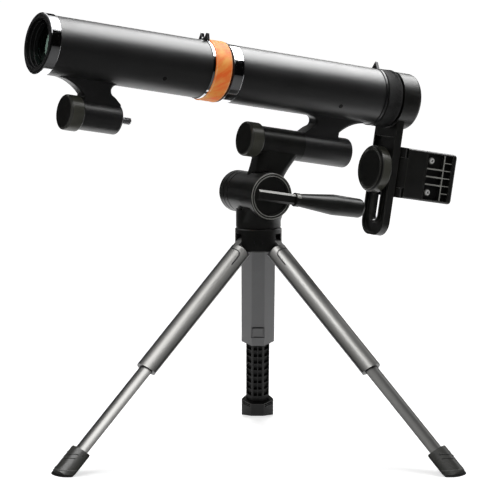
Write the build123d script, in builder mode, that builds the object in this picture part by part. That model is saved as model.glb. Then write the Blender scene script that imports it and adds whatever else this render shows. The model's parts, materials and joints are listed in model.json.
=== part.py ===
import os
from math import cos, radians, sin, sqrt, tan
from build123d import *

# Refractor with notch and blade sights on a folding tripod, in mm, +Z up, standing on Z = 0.
# "along" counts backward from the front rim of the objective, "drop" downward from the
# optical axis, "out" along the tilt axis toward the handle, "down" along a leg from its pivot.

# stance: where the pan axis stands in the footprint, and how the head is turned
axis_x = 9.19
axis_y = -38.09
pan_angle = 29.5
scope_pitch = 9.5
scope_rise = 102.5

# clearances: running shafts, faces that slide, faces that pass each other
run_gap = 0.08
slip_gap = 0.3
pass_gap = 0.8

# objective end
tube_radius = 25.8
tube_wall = 2.0
tube_bore = tube_radius - tube_wall
bezel_length = 10.2
bezel_proud = 1.0
bezel_radius = tube_radius + bezel_proud
bezel_edge = 0.6
rim_length = 2.0
lens_depth = 11.0
lens_seat_wall = 1.4
lens_radius = tube_bore - lens_seat_wall
lens_edge = 6.0
lens_land_width = 3.4
lens_land = lens_radius - lens_land_width
lens_bulge = 2.2
lens_back_bulge = 0.7
cell_length = 24.0
cell_step = 0.9
cell_bore = lens_radius - cell_step
cell_step_length = 3.6
retainer_length = 4.0
retainer_width = 2.6
retainer_bore = lens_radius - retainer_width

# tubes, and the rings and band at their joint
front_tube_length = 157.4
sight_ring_width = 2.4
band_width = 16.6
groove_width = 2.3
collar_width = 10.5
rear_tube_length = 149.8
front_tube_end = rim_length + front_tube_length
sight_ring_end = front_tube_end + sight_ring_width
band_end = sight_ring_end + band_width
collar_start = band_end + groove_width
collar_end = collar_start + collar_width
rear_tube_end = collar_end + rear_tube_length
band_proud = 1.4
collar_proud = 0.2
sight_ring_proud = 0.7
band_radius = tube_radius + band_proud
collar_radius = tube_radius + collar_proud
sight_ring_radius = tube_radius + sight_ring_proud
ring_edge = 0.5
sleeve_reach = 17.4
sleeve_wall = 1.8
groove_depth = 1.2
baffle_ring = 6.8
baffle_thickness = 1.6
baffle_rim = 7.0
baffle_rim_wall = 2.4
hole_inset = 43.9
front_hole_along = front_tube_end - hole_inset
rear_hole_along = rear_tube_end - hole_inset
hole_angle = 32.0
hole_radius = 2.1
set_screw_length = 1.2

# sights on top of the tube
sight_height = 6.4
sight_tip = tube_radius + sight_height
notch_land = 1.8
notch_floor = tube_radius + notch_land
notch_half = 2.6
notch_floor_half = 1.3
prong_half = 5.4
fork_half = 9.0
fork_length = 4.6
blade_half = 6.0
blade_length = 3.0

# bosses and pylons under the tube; pylon points count from the end of the boss at the knob,
# and the rear pair faces the other way
boss_drop = 54.8
boss_radius = 13.5
boss_round = 2.5
front_boss_start = 48.3
front_boss_length = 37.9
rear_boss_inset = 69.1
rear_boss_length = 51.0
rear_boss_start = rear_tube_end - rear_boss_inset
pylon_half = 8.0
pylon_round = 2.5
pylon_root = tube_bore + tube_wall / 20
pylon_span = 36.3
toe_lead = 24.3
toe_mid_lead = 10.3
toe_mid_drop = 30.4
toe_foot_inset = 0.3
toe_foot_drop = 38.7
boss_root_drop = 45.0
heel_inset = 29.2
waist_inset = 25.3
waist_drop = 30.0
slant_inset = 27.9
slant_drop = 35.0
heel_foot_inset = 35.7
heel_foot_drop = 41.8
screw_radius = 3.175
stud_length = 6.8
knob_radius = 15.6
knob_length = 14.0
knob_chamfer = 1.2
knob_socket = 9.5
boss_bore_length = 12.0

# focusing end
bead_ring_width = 2.2
focus_gap = 1.4
focus_length = 14.4
focus_lip = 1.6
focus_proud = 0.3
bead_ring_end = rear_tube_end + bead_ring_width
focus_start = bead_ring_end + focus_gap
focus_end = focus_start + focus_length
focus_radius = tube_radius + focus_proud
spigot_step = 0.4
spigot_short = 2.2
spigot_radius = tube_bore - spigot_step
spigot_end = focus_end - spigot_short
draw_wall = 1.6
draw_step = 1.8
draw_reach = 28.0
draw_radius = spigot_radius - draw_step
draw_bore = draw_radius - draw_wall
draw_start = rear_tube_end - draw_reach
cap_gap = 2.8
cap_length = 19.4
cap_wall = 4.0
cap_round = 4.0
cap_opening = 17.2
cap_start = focus_end + cap_gap
cap_end = cap_start + cap_length
cap_wall_start = cap_end - cap_wall
head_gap = 2.4
head_step = 0.7
head_short = 0.4
head_radius = draw_radius + head_step
head_start = focus_end + head_gap
head_end = cap_wall_start - head_short
eye_bore = 9.4
eye_lens_radius = 11.0
eye_lens_inset = 6.6
eye_lens_along = head_start + eye_lens_inset
eye_lens_thickness = 4.6
field_lens_inset = 3.0
field_lens_along = draw_start + field_lens_inset
field_lens_thickness = 4.0
eyecup_radius = 16.6
eyecup_bore = 11.5
eyecup_length = 9.7
eyecup_end = head_end + eyecup_length
eyecup_lip = 2.0

# slotted arm of the phone adapter, its carriage and clamp
arm_inset = 0.4
arm_thickness = 7.2
arm_start = cap_start + arm_inset
arm_end = arm_start + arm_thickness
arm_half = 18.5
arm_drop = 125.3
arm_corner = 14.0
arm_rim = 2.2
arm_recess = 2.8
arm_recess_top = 34.0
slot_half = 6.6
slot_rim = 1.8
slot_rim_half = slot_half + slot_rim
slot_top = 48.4
slot_bottom = 112.4
slot_middle = (slot_top + slot_bottom) / 2
clamp_drop = 65.0
clamp_radius = 21.4
clamp_length = 11.5
clamp_chamfer = 2.0
clamp_dish = 0.8
clamp_socket = 8.0
carriage_thickness = 3.6
guide_short = 1.6
guide_radius = slot_half - slip_gap
carriage_near = 12.4
carriage_far = 17.0
hinge_behind = 4.8
hinge_near = 16.5
hinge_radius = 3.4
hinge_pin_radius = 1.6
knuckle_length = 9.0

# folding clip and its sprung jaw
clip_half = 23.2
clip_gap = 9.0
cover_width = 20.2
jaw_gap = 0.4
jaw_span = 27.4
jaw_wall = 6.0
block_short = 3.0
clip_start = arm_end + clip_gap
clip_cover_end = clip_start + cover_width
jaw_start = clip_cover_end + jaw_gap
jaw_wall_start = jaw_start + jaw_span
jaw_end = jaw_wall_start + jaw_wall
clip_block_end = jaw_wall_start - block_short
clip_near = 20.0
clip_split = 13.0
clip_far = 6.0
clip_round = 2.4
jaw_thickness = 5.0
jaw_reach = 12.0
jaw_corner = 3.4
pad_thickness = 1.4
pad_margin = 4.2
pad_half = clip_half - pad_margin
rod_radius = 2.0
rod_spread = 14.7
rod_inset = 5.6
rod_start = clip_start + rod_inset
rod_out = (clip_split + clip_far) / 2
plate_margin = 2.0
plate_lead = 1.2
plate_tail = 5.4
plate_depth = 4.8
plate_thickness = 1.0
plate_start = jaw_start + plate_lead
plate_end = jaw_end - plate_tail
plate_half = clip_half - plate_margin
plate_rib_height = 3.0
plate_rib_width = 1.4
plate_rib_pitch = 7.2
plate_rib_count = 3
spine_inset = 8.2
spine_width = 1.4
spine_along = plate_end - spine_inset
pocket_rows = 6
pocket_web = 0.9
pocket_pitch = 2 * plate_half / pocket_rows
boss_head = 3.1
boss_height = 1.4
jaw_screw_inset = 6.6
jaw_screw_along = jaw_start + jaw_screw_inset
jaw_screw_head = 2.3
jaw_screw_head_height = 1.2
jaw_screw_shank = 1.2
jaw_screw_length = 1.2

# tripod: a leg's length to the floor follows from the pivot's height and the spread
pivot_height = 194.6
pivot_radius = 12.0
leg_spread = 44.0
leg_count = 3
leg_length = pivot_height / cos(radians(leg_spread))
hub_below = 9.1
hub_above = 11.4
hub_bottom = pivot_height - hub_below
hub_top = pivot_height + hub_above
hub_radius = 21.0
hub_edge = 1.0
pin_radius = 2.0
pin_half = 16.6
tongue_half = 4.5
tongue_radius = 6.0
leg_radius = 18.5
leg_flank = 0.25
leg_facet = 3.7
leg_shoulder = 10.0
leg_corner = 1.2
leg_round = 7.0
leg_wall = 3.0
panel_rim = 4.2
panel_groove = 1.0
panel_depth = 0.7
panel_length = 19.0
foot_length = 35.5
lower_show = 85.4
lower_overlap = 25.0
foot_top = leg_length - foot_length
upper_end = foot_top - lower_show
lower_start = upper_end - lower_overlap
cavity_start = 36.0
facet_gap = 0.5
foot_height = 60.0
foot_box = 120.0
toe_blunt = 4.6
toe_curve = 24.0
foot_slot_inset = 6.4
foot_slot_pitch = 4.4
foot_slot_width = 3.0
foot_slot_web = 1.5
foot_slot_depth = 2.0
sole_thickness = 2.0
rib_rows = 10
rib_row_pitch = 10.4
rib_web = 0.9
rib_depth = 2.2
button_inset = 21.1
button_along = upper_end - button_inset
button_half = 5.2
button_length = 12.4
button_proud = 0.4
button_depth = 1.6
button_ledge = 2.4
button_recess = 0.7

# pan and tilt head, from the hub upward
pan_gap = 1.0
pan_height = 16.0
tilt_rise = 29.0
bolt_reach = 7.0
pan_bottom = hub_top + pan_gap
tilt_height = pan_bottom + tilt_rise
bolt_top = pan_bottom + bolt_reach
pan_radius = 20.2
thrust_step = 1.7
washer_radius = 13.0
washer_thickness = 0.9
bolt_radius = 2.5
bolt_head_radius = 4.2
bolt_head_length = 4.2
drum_radius = 18.9
drum_length = 35.5
drum_cap_length = 5.0
drum_cap_round = 2.5
drum_groove = 0.6
drum_groove_width = 1.2
groove_first_inset = 11.5
groove_second_inset = 5.0
groove_first = drum_length - groove_first_inset
groove_second = drum_length - groove_second_inset
shaft_radius = 5.0
shaft_seat = 2.5
shaft_end = drum_length + shaft_seat
barrel_radius = 20.8
barrel_start = 1.2
barrel_end = 24.0
barrel_chamfer = 1.4
blend_rise = 5.0
blend_drop = 9.0
blend_half = 18.2
blend_round = 7.0
disc_land = 3.4
disc_inset = 3.0
disc_proud = 0.4
disc_radius = barrel_radius - disc_land
disc_start = barrel_end - disc_inset
disc_end = barrel_end + disc_proud
bar_half = 4.9
bar_height = 6.6
bar_overhang = 4.0
bar_chamfer = 2.0
disc_rim = 1.5
disc_dish = 0.9
bar_left = disc_radius - disc_proud
bar_right = disc_radius + bar_overhang
handle_lift = 3.2
handle_out = disc_end + handle_lift
handle_collar_radius = 6.2
handle_collar_length = 4.6
handle_start = bar_right + handle_collar_length
handle_neck = 5.8
handle_belly = 9.4
handle_tip = 8.6
handle_round = 4.0
handle_belly_reach = 36.0
handle_length = 67.0
handle_screw_back = 12.4
handle_screw_reach = 24.0
handle_screw_radius = 3.0
handle_belly_along = handle_start + handle_belly_reach
handle_end = handle_start + handle_length
handle_screw_start = bar_right - handle_screw_back
handle_screw_end = handle_start + handle_screw_reach

# neck of the saddle, measured from the tilt axis
neck_front = 9.2
saddle_rear = 33.9
front_reach = rear_boss_start - saddle_rear
saddle_start = front_reach - neck_front
boss_rise = scope_rise - boss_drop
neck_half = 13.8
neck_top_half = 11.4
neck_round = 9.0
neck_front_foot = 12.6
neck_front_waist = 9.6
neck_rear_foot = 16.0
neck_rear_waist = 20.4
neck_rear_short = 0.6
neck_rear = saddle_rear - neck_rear_short
neck_sink = 7.7
neck_top = boss_rise - neck_sink
neck_waist = 21.0
neck_root = 8.0

# directions of the turned and tilted head, and the planes its pieces are drawn on
turn = radians(pan_angle)
pitch = radians(scope_pitch)
rear = Vector(cos(turn) * cos(pitch), sin(turn) * cos(pitch), -sin(pitch))
near = Vector(sin(turn), -cos(turn), 0)
far = near * -1
lift = near.cross(rear)
level = Vector(cos(turn), sin(turn), 0)
tilt_centre = Vector(axis_x, axis_y, tilt_height)
lens_front = tilt_centre + lift * scope_rise - rear * front_reach
boss_front = lens_front - lift * boss_drop
clamp_front = lens_front - lift * clamp_drop
handle_root = tilt_centre + near * handle_out
hinge_along = arm_end + hinge_behind
hinge_point = clamp_front + rear * hinge_along + near * hinge_near

# side planes look at the scope from the handle side: x backward, y up, z toward the viewer
scope_side = Plane(origin=lens_front, x_dir=rear, z_dir=near)
boss_side = Plane(origin=boss_front, x_dir=rear, z_dir=near)
clamp_side = Plane(origin=clamp_front, x_dir=rear, z_dir=near)
tilt_side = Plane(origin=tilt_centre, x_dir=rear, z_dir=near)
handle_side = Plane(origin=handle_root, x_dir=rear, z_dir=near)
plate_face = clamp_side.offset(clip_near - plate_depth + plate_thickness)
# end planes look backward along the scope: x to the far side, y up
scope_end = Plane(origin=lens_front, x_dir=far, z_dir=rear)
boss_end = Plane(origin=boss_front, x_dir=far, z_dir=rear)
clamp_end = Plane(origin=clamp_front, x_dir=far, z_dir=rear)
# drum plane: x outward along the tilt axis, y up; yoke plane: x level, y up; neck plan looks down
drum_side = Plane(origin=tilt_centre, x_dir=near, z_dir=near.cross(lift))
yoke_side = Plane(origin=tilt_centre, x_dir=level, z_dir=near)
blend_plan = Plane(origin=tilt_centre - Vector(0, 0, blend_drop), x_dir=near, z_dir=(0, 0, 1))
post_plan = Plane(origin=(axis_x, axis_y, 0))
# clip plan looks down the hinge: x backward, y to the far side
clip_plan = Plane(origin=clamp_front, x_dir=rear, z_dir=lift)
neck_plan = Plane(origin=tilt_centre, x_dir=rear, z_dir=lift)
hinge_plan = Plane(origin=hinge_point, x_dir=rear, z_dir=lift)
scope_axis = Axis(lens_front, rear)
boss_axis = Axis(boss_front, rear)
clamp_axis = Axis(clamp_front, rear)
tilt_axis = Axis(tilt_centre, near)
handle_axis = Axis(handle_root, rear)
near_axis = Axis(lens_front, near)
hole_dir = near * cos(radians(hole_angle)) - lift * sin(radians(hole_angle))
front_hole = Plane(origin=lens_front + rear * front_hole_along, x_dir=rear, z_dir=hole_dir)
rear_hole = Plane(origin=lens_front + rear * rear_hole_along, x_dir=rear, z_dir=hole_dir)

# shapes that come back: a pylon between tube and boss, and a turned knob against its seat
def pylon_outline(boss_edge, facing):
    toe = ThreePointArc(
        (boss_edge - facing * toe_lead, -tube_radius),
        (boss_edge - facing * toe_mid_lead, -toe_mid_drop),
        (boss_edge + facing * toe_foot_inset, -toe_foot_drop),
    )
    sole = Polyline(
        toe @ 1,
        (boss_edge + facing * toe_foot_inset, -boss_root_drop),
        (boss_edge + facing * heel_foot_inset, -boss_root_drop),
        (boss_edge + facing * heel_foot_inset, -heel_foot_drop),
        (boss_edge + facing * slant_inset, -slant_drop),
    )
    heel = ThreePointArc(
        sole @ 1,
        (boss_edge + facing * waist_inset, -waist_drop),
        (boss_edge + facing * heel_inset, -tube_radius),
    )
    Polyline(
        heel @ 1,
        (boss_edge + facing * heel_inset, -pylon_root),
        (boss_edge - facing * toe_lead, -pylon_root),
        toe @ 0,
    )


def knob_outline(seat):
    Polyline(
        (seat - knob_length, 0),
        (seat - knob_length, knob_radius - knob_chamfer),
        (seat - knob_length + knob_chamfer, knob_radius),
        (seat - knob_chamfer, knob_radius),
        (seat, knob_radius - knob_chamfer),
        (seat, screw_radius),
        (seat - knob_socket, screw_radius),
        (seat - knob_socket, 0),
        close=True,
    )


# objective
with BuildPart() as objective_bezel:
    with BuildSketch(scope_side):
        with BuildLine():
            Polyline(
                (bezel_edge, tube_radius),
                (bezel_edge, bezel_radius - bezel_edge),
                (2 * bezel_edge, bezel_radius),
                (bezel_length - bezel_edge, bezel_radius),
                (bezel_length, bezel_radius - bezel_edge),
                (bezel_length, tube_radius),
                close=True,
            )
        make_face()
    revolve(axis=scope_axis)

with BuildPart() as lens_cell:
    with BuildSketch(scope_side):
        with BuildLine():
            Polyline(
                (0, cell_bore),
                (0, tube_radius - bezel_edge),
                (bezel_edge, tube_radius),
                (rim_length, tube_radius),
                (rim_length, tube_bore),
                (cell_length, tube_bore),
                (cell_length, lens_radius),
                (lens_depth, lens_radius),
                (lens_depth, cell_bore - 2 * cell_step),
                (2 * cell_step_length, cell_bore - 2 * cell_step),
                (2 * cell_step_length, cell_bore - cell_step),
                (cell_step_length, cell_bore - cell_step),
                (cell_step_length, cell_bore),
                close=True,
            )
        make_face()
    revolve(axis=scope_axis)

with BuildPart() as objective_lens:
    with BuildSketch(scope_side):
        with BuildLine():
            lens_rim = Polyline(
                (lens_depth, lens_land),
                (lens_depth, lens_radius),
                (lens_depth + lens_edge, lens_radius),
                (lens_depth + lens_edge, lens_land),
            )
            lens_core = Line(
                (lens_depth + lens_edge + lens_back_bulge, 0), (lens_depth - lens_bulge, 0)
            )
            TangentArc(lens_core @ 0, lens_rim @ 1, tangent=(0, 1))
            TangentArc(lens_core @ 1, lens_rim @ 0, tangent=(0, 1))
        make_face()
    revolve(axis=scope_axis)

with BuildPart() as lens_retainer:
    with BuildSketch(scope_side):
        with Locations((lens_depth + lens_edge, retainer_bore)):
            Rectangle(retainer_length, lens_radius - retainer_bore, align=(Align.MIN, Align.MIN))
    revolve(axis=scope_axis)

# front tube with its pylon and boss
with BuildPart() as front_tube:
    with BuildSketch(scope_side):
        with BuildLine():
            pylon_outline(front_boss_start, 1)
        make_face()
    extrude(amount=pylon_half, both=True)
    fillet(front_tube.edges().filter_by(GeomType.CIRCLE), pylon_round)
    with BuildSketch(boss_side) as front_boss_outline:
        with Locations((front_boss_start, 0)):
            Rectangle(front_boss_length, boss_radius, align=(Align.MIN, Align.MIN))
        fillet(front_boss_outline.vertices().group_by(Axis.X)[-1].sort_by(Axis.Y)[-1], boss_round)
    revolve(axis=boss_axis)
    with BuildSketch(scope_end.offset(rim_length)):
        Circle(tube_radius)
    extrude(amount=front_tube_length)
    with BuildSketch(scope_end.offset(rim_length)):
        Circle(tube_bore)
    extrude(amount=front_tube_length, mode=Mode.SUBTRACT)
    with BuildSketch(boss_end.offset(front_boss_start)):
        Circle(screw_radius + run_gap)
    extrude(amount=front_boss_length, mode=Mode.SUBTRACT)
    with BuildSketch(front_hole):
        Circle(hole_radius)
    extrude(amount=bezel_radius, mode=Mode.SUBTRACT)

with BuildPart() as front_knob:
    with BuildSketch(boss_side):
        with BuildLine():
            knob_outline(front_boss_start - slip_gap)
        make_face()
    revolve(axis=boss_axis)

with BuildPart() as front_stud:
    with BuildSketch(boss_end.offset(front_boss_start - slip_gap - knob_socket)):
        Circle(screw_radius)
    extrude(amount=knob_socket + slip_gap + front_boss_length + stud_length)
    chamfer(front_stud.faces().sort_by(boss_axis)[-1].edges(), ring_edge)

# rings and band at the joint of the two tubes
with BuildPart() as coupling_sleeve:
    with BuildSketch(scope_side):
        with BuildLine():
            Polyline(
                (front_tube_end - sleeve_reach, tube_bore - sleeve_wall),
                (front_tube_end - sleeve_reach, tube_bore),
                (band_end, tube_bore),
                (band_end, tube_radius - groove_depth),
                (collar_start, tube_radius - groove_depth),
                (collar_start, tube_bore),
                (collar_end + sleeve_reach, tube_bore),
                (collar_end + sleeve_reach, tube_bore - sleeve_wall),
                close=True,
            )
        make_face()
    revolve(axis=scope_axis)

with BuildPart() as notch_sight:
    with BuildSketch(scope_end.offset(sight_ring_end - fork_length)):
        with BuildLine():
            Polyline(
                (-fork_half, tube_radius - tube_wall),
                (-prong_half, sight_tip),
                (-notch_half, sight_tip),
                (-notch_floor_half, notch_floor),
                (notch_floor_half, notch_floor),
                (notch_half, sight_tip),
                (prong_half, sight_tip),
                (fork_half, tube_radius - tube_wall),
                close=True,
            )
        make_face()
        Circle(tube_radius, mode=Mode.SUBTRACT)
    extrude(amount=fork_length)
    with BuildSketch(scope_end.offset(front_tube_end)):
        Circle(sight_ring_radius)
        Circle(tube_bore, mode=Mode.SUBTRACT)
    extrude(amount=sight_ring_width)

with BuildPart() as joint_band:
    with BuildSketch(scope_side):
        with BuildLine():
            Polyline(
                (sight_ring_end, tube_bore),
                (sight_ring_end, band_radius - ring_edge),
                (sight_ring_end + ring_edge, band_radius),
                (band_end - ring_edge, band_radius),
                (band_end, band_radius - ring_edge),
                (band_end, tube_bore),
                close=True,
            )
        make_face()
    revolve(axis=scope_axis)

with BuildPart() as joint_collar:
    with BuildSketch(scope_side):
        with BuildLine():
            Polyline(
                (collar_start, tube_bore),
                (collar_start, collar_radius - ring_edge),
                (collar_start + ring_edge, collar_radius),
                (collar_end - ring_edge, collar_radius),
                (collar_end, collar_radius - ring_edge),
                (collar_end, tube_bore),
                close=True,
            )
        make_face()
    revolve(axis=scope_axis)

# rear tube with its pylon, boss and focusing spigot
with BuildPart() as rear_tube:
    with BuildSketch(scope_side):
        with BuildLine():
            pylon_outline(rear_boss_start + pylon_span, -1)
        make_face()
    extrude(amount=pylon_half, both=True)
    fillet(rear_tube.edges().filter_by(GeomType.CIRCLE), pylon_round)
    with BuildSketch(boss_side) as rear_boss_outline:
        with Locations((rear_boss_start, 0)):
            Rectangle(rear_boss_length, boss_radius, align=(Align.MIN, Align.MIN))
        fillet(rear_boss_outline.vertices().group_by(Axis.X)[-1].sort_by(Axis.Y)[-1], boss_round)
    revolve(axis=boss_axis)
    with BuildSketch(scope_end.offset(collar_end)):
        Circle(tube_radius)
    extrude(amount=rear_tube_length)
    with BuildSketch(scope_end.offset(rear_tube_end)):
        Circle(spigot_radius)
    extrude(amount=spigot_end - rear_tube_end)
    with BuildSketch(scope_end.offset(collar_end)):
        Circle(tube_bore)
    extrude(amount=rear_tube_length - tube_wall, mode=Mode.SUBTRACT)
    with BuildSketch(scope_end.offset(rear_tube_end - 2 * tube_wall)):
        Circle(draw_radius + run_gap)
    extrude(amount=spigot_end - rear_tube_end + 2 * tube_wall, mode=Mode.SUBTRACT)
    with BuildSketch(boss_end.offset(rear_boss_start)):
        Circle(screw_radius + run_gap)
    extrude(amount=boss_bore_length, mode=Mode.SUBTRACT)
    with BuildSketch(rear_hole):
        Circle(hole_radius)
    extrude(amount=bezel_radius, mode=Mode.SUBTRACT)

# light baffles inside the tubes, each held by a set screw from outside
with BuildPart() as tube_baffles:
    with BuildSketch(scope_side):
        for baffle_along in (front_hole_along, rear_hole_along):
            with Locations((baffle_along - baffle_rim / 2, tube_bore)):
                Rectangle(baffle_rim, baffle_rim_wall, align=(Align.MIN, Align.MAX))
                Rectangle(baffle_thickness, baffle_ring, align=(Align.MIN, Align.MAX))
    revolve(axis=scope_axis)

with BuildPart() as set_screws:
    with BuildSketch(front_hole.offset(tube_bore), rear_hole.offset(tube_bore)):
        Circle(hole_radius)
    extrude(amount=set_screw_length)

# focusing ring, eyepiece and eyecup
with BuildPart() as bead_sight:
    with BuildSketch(scope_end.offset(bead_ring_end - blade_length)):
        with BuildLine():
            Polyline(
                (-blade_half, tube_radius - tube_wall),
                (0, sight_tip),
                (blade_half, tube_radius - tube_wall),
                close=True,
            )
        make_face()
        Circle(tube_radius, mode=Mode.SUBTRACT)
    extrude(amount=blade_length)
    with BuildSketch(scope_end.offset(rear_tube_end)):
        Circle(sight_ring_radius)
        Circle(spigot_radius, mode=Mode.SUBTRACT)
    extrude(amount=bead_ring_width)

with BuildPart() as focus_ring:
    with BuildSketch(scope_side):
        with BuildLine():
            Polyline(
                (focus_start, spigot_radius + run_gap),
                (focus_start, focus_radius - ring_edge),
                (focus_start + ring_edge, focus_radius),
                (focus_end - ring_edge, focus_radius),
                (focus_end, focus_radius - ring_edge),
                (focus_end, draw_radius + slip_gap),
                (focus_end - focus_lip, draw_radius + slip_gap),
                (focus_end - focus_lip, spigot_radius + run_gap),
                close=True,
            )
        make_face()
    revolve(axis=scope_axis)

with BuildPart() as draw_tube:
    with BuildSketch(scope_side):
        with BuildLine():
            Polyline(
                (draw_start, draw_bore),
                (draw_start, draw_radius),
                (head_start, draw_radius),
                (head_start, head_radius),
                (head_end, head_radius),
                (head_end, eyecup_radius),
                (head_end - eyecup_lip, eyecup_radius),
                (head_end - eyecup_lip, eye_bore),
                (eye_lens_along + eye_lens_thickness, eye_bore),
                (eye_lens_along + eye_lens_thickness, eye_lens_radius),
                (eye_lens_along, eye_lens_radius),
                (eye_lens_along, draw_bore),
                close=True,
            )
        make_face()
    revolve(axis=scope_axis)

with BuildPart() as field_lens:
    with BuildSketch(scope_side):
        with Locations((field_lens_along, 0)):
            Rectangle(field_lens_thickness, draw_bore, align=(Align.MIN, Align.MIN))
    revolve(axis=scope_axis)

with BuildPart() as eye_lens:
    with BuildSketch(scope_side):
        with Locations((eye_lens_along, 0)):
            Rectangle(eye_lens_thickness, eye_lens_radius, align=(Align.MIN, Align.MIN))
    revolve(axis=scope_axis)

with BuildPart() as eyecup:
    with BuildSketch(scope_side):
        with BuildLine():
            Polyline(
                (head_end - eyecup_lip, eyecup_bore),
                (head_end - eyecup_lip, eyecup_radius),
                (eyecup_end - eyecup_lip, eyecup_radius),
                (eyecup_end, eyecup_radius - eyecup_lip),
                (eyecup_end, eyecup_bore + eyecup_lip),
                (eyecup_end - eyecup_lip, eyecup_bore),
                close=True,
            )
        make_face()
    revolve(axis=scope_axis)

# phone adapter: cap ring and slotted arm, carriage, folding clip with a sprung jaw
with BuildPart() as adapter_arm:
    with BuildSketch(scope_end.offset(arm_start)) as arm_outline:
        with Locations((0, -arm_drop)):
            Rectangle(2 * arm_half, arm_drop, align=(Align.CENTER, Align.MIN))
        fillet(arm_outline.vertices().group_by(Axis.Y)[0], arm_corner)
    extrude(amount=arm_thickness)
    with BuildSketch(scope_end.offset(arm_start)) as arm_panel:
        with Locations((0, -arm_drop + arm_rim)):
            Rectangle(
                2 * (arm_half - arm_rim),
                arm_drop - arm_rim - arm_recess_top,
                align=(Align.CENTER, Align.MIN),
            )
        fillet(arm_panel.vertices().group_by(Axis.Y)[0], arm_corner - arm_rim)
        with Locations((0, -slot_middle)):
            SlotOverall(
                slot_bottom - slot_top + 2 * (slot_rim_half - slot_half),
                2 * slot_rim_half,
                rotation=90,
                mode=Mode.SUBTRACT,
            )
    extrude(amount=arm_recess, mode=Mode.SUBTRACT)
    with BuildSketch(scope_end.offset(arm_start)):
        with Locations((0, -slot_middle)):
            SlotOverall(slot_bottom - slot_top, 2 * slot_half, rotation=90)
    extrude(amount=arm_thickness, mode=Mode.SUBTRACT)
    with BuildSketch(scope_side) as cap_outline:
        with Locations((cap_start, 0)):
            Rectangle(cap_length, tube_radius, align=(Align.MIN, Align.MIN))
        fillet(cap_outline.vertices().group_by(Axis.X)[-1].sort_by(Axis.Y)[-1], cap_round)
    revolve(axis=scope_axis)
    with BuildSketch(scope_end.offset(cap_start)):
        Circle(head_radius + slip_gap)
    extrude(amount=cap_length - cap_wall, mode=Mode.SUBTRACT)
    with BuildSketch(scope_end.offset(cap_start)):
        Circle(cap_opening)
    extrude(amount=cap_length, mode=Mode.SUBTRACT)

with BuildPart() as clamp_knob:
    with BuildSketch(clamp_side):
        with BuildLine():
            Polyline(
                (arm_start - slip_gap - clamp_length + clamp_dish, 0),
                (arm_start - slip_gap - clamp_length + clamp_dish, clamp_radius - 2 * clamp_chamfer),
                (arm_start - slip_gap - clamp_length, clamp_radius - 2 * clamp_chamfer + clamp_dish),
                (arm_start - slip_gap - clamp_length, clamp_radius - clamp_chamfer),
                (arm_start - slip_gap - clamp_length + clamp_chamfer, clamp_radius),
                (arm_start - slip_gap - clamp_dish, clamp_radius),
                (arm_start - slip_gap, clamp_radius - clamp_dish),
                (arm_start - slip_gap, screw_radius),
                (arm_start - slip_gap - clamp_socket, screw_radius),
                (arm_start - slip_gap - clamp_socket, 0),
                close=True,
            )
        make_face()
    revolve(axis=clamp_axis)

with BuildPart() as clamp_screw:
    with BuildSketch(clamp_end.offset(arm_start - slip_gap - clamp_socket)):
        Circle(screw_radius)
    extrude(amount=clamp_socket + slip_gap + arm_thickness + carriage_thickness)

with BuildPart() as carriage:
    with BuildSketch(clamp_end.offset(arm_end + run_gap)):
        with Locations(((carriage_far - carriage_near) / 2, 0)):
            Rectangle(carriage_far + carriage_near, 2 * clip_half)
    extrude(amount=carriage_thickness)
    with BuildSketch(clamp_end.offset(arm_start + guide_short)):
        Circle(guide_radius)
    extrude(amount=arm_thickness - guide_short + run_gap)
    with BuildSketch(hinge_plan.offset(-clip_half), hinge_plan.offset(clip_half - knuckle_length)):
        Circle(hinge_radius)
        with Locations((-hinge_behind + run_gap, 0)):
            Rectangle(carriage_thickness, hinge_near - carriage_near, align=(Align.MIN, Align.MIN))
    extrude(amount=knuckle_length)
    with BuildSketch(hinge_plan.offset(-clip_half)):
        Circle(hinge_pin_radius)
    extrude(amount=2 * clip_half, mode=Mode.SUBTRACT)
    with BuildSketch(clamp_end.offset(arm_start)):
        Circle(screw_radius + run_gap)
    extrude(amount=arm_thickness + 2 * carriage_thickness, mode=Mode.SUBTRACT)

with BuildPart() as hinge_pin:
    with BuildSketch(hinge_plan.offset(-clip_half)):
        Circle(hinge_pin_radius)
    extrude(amount=2 * clip_half)

with BuildPart() as clip_body:
    with BuildSketch(clip_plan.offset(-clip_half)):
        with BuildLine():
            Polyline(
                (clip_start, -clip_near),
                (clip_cover_end, -clip_near),
                (clip_cover_end, -clip_split),
                (clip_block_end, -clip_split),
                (clip_block_end, -clip_far),
                (clip_start + jaw_thickness, -clip_far),
                (clip_start + jaw_thickness, jaw_reach),
                (clip_start, jaw_reach),
                close=True,
            )
        make_face()
    extrude(amount=2 * clip_half)
    fillet(clip_body.faces().sort_by(near_axis)[-1].edges().filter_by(clamp_axis), clip_round)
    with BuildSketch(hinge_plan.offset(-clip_half + knuckle_length + slip_gap)):
        Circle(hinge_radius)
        Rectangle(clip_start - hinge_along, hinge_radius, align=(Align.MIN, Align.MAX))
    extrude(amount=2 * (clip_half - knuckle_length - slip_gap))
    with BuildSketch(hinge_plan.offset(-clip_half)):
        Circle(hinge_pin_radius + run_gap)
    extrude(amount=2 * clip_half, mode=Mode.SUBTRACT)
    with BuildSketch(clamp_end.offset(rod_start - slip_gap)):
        with Locations((-rod_out, rod_spread), (-rod_out, -rod_spread)):
            Circle(rod_radius + run_gap)
    extrude(amount=clip_block_end - rod_start + slip_gap, mode=Mode.SUBTRACT)

with BuildPart() as clip_pad:
    with BuildSketch(clip_plan.offset(-pad_half)):
        with Locations((clip_start + jaw_thickness, -clip_far + slip_gap)):
            Rectangle(pad_thickness, clip_far + jaw_reach - slip_gap, align=(Align.MIN, Align.MIN))
    extrude(amount=2 * pad_half)

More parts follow.
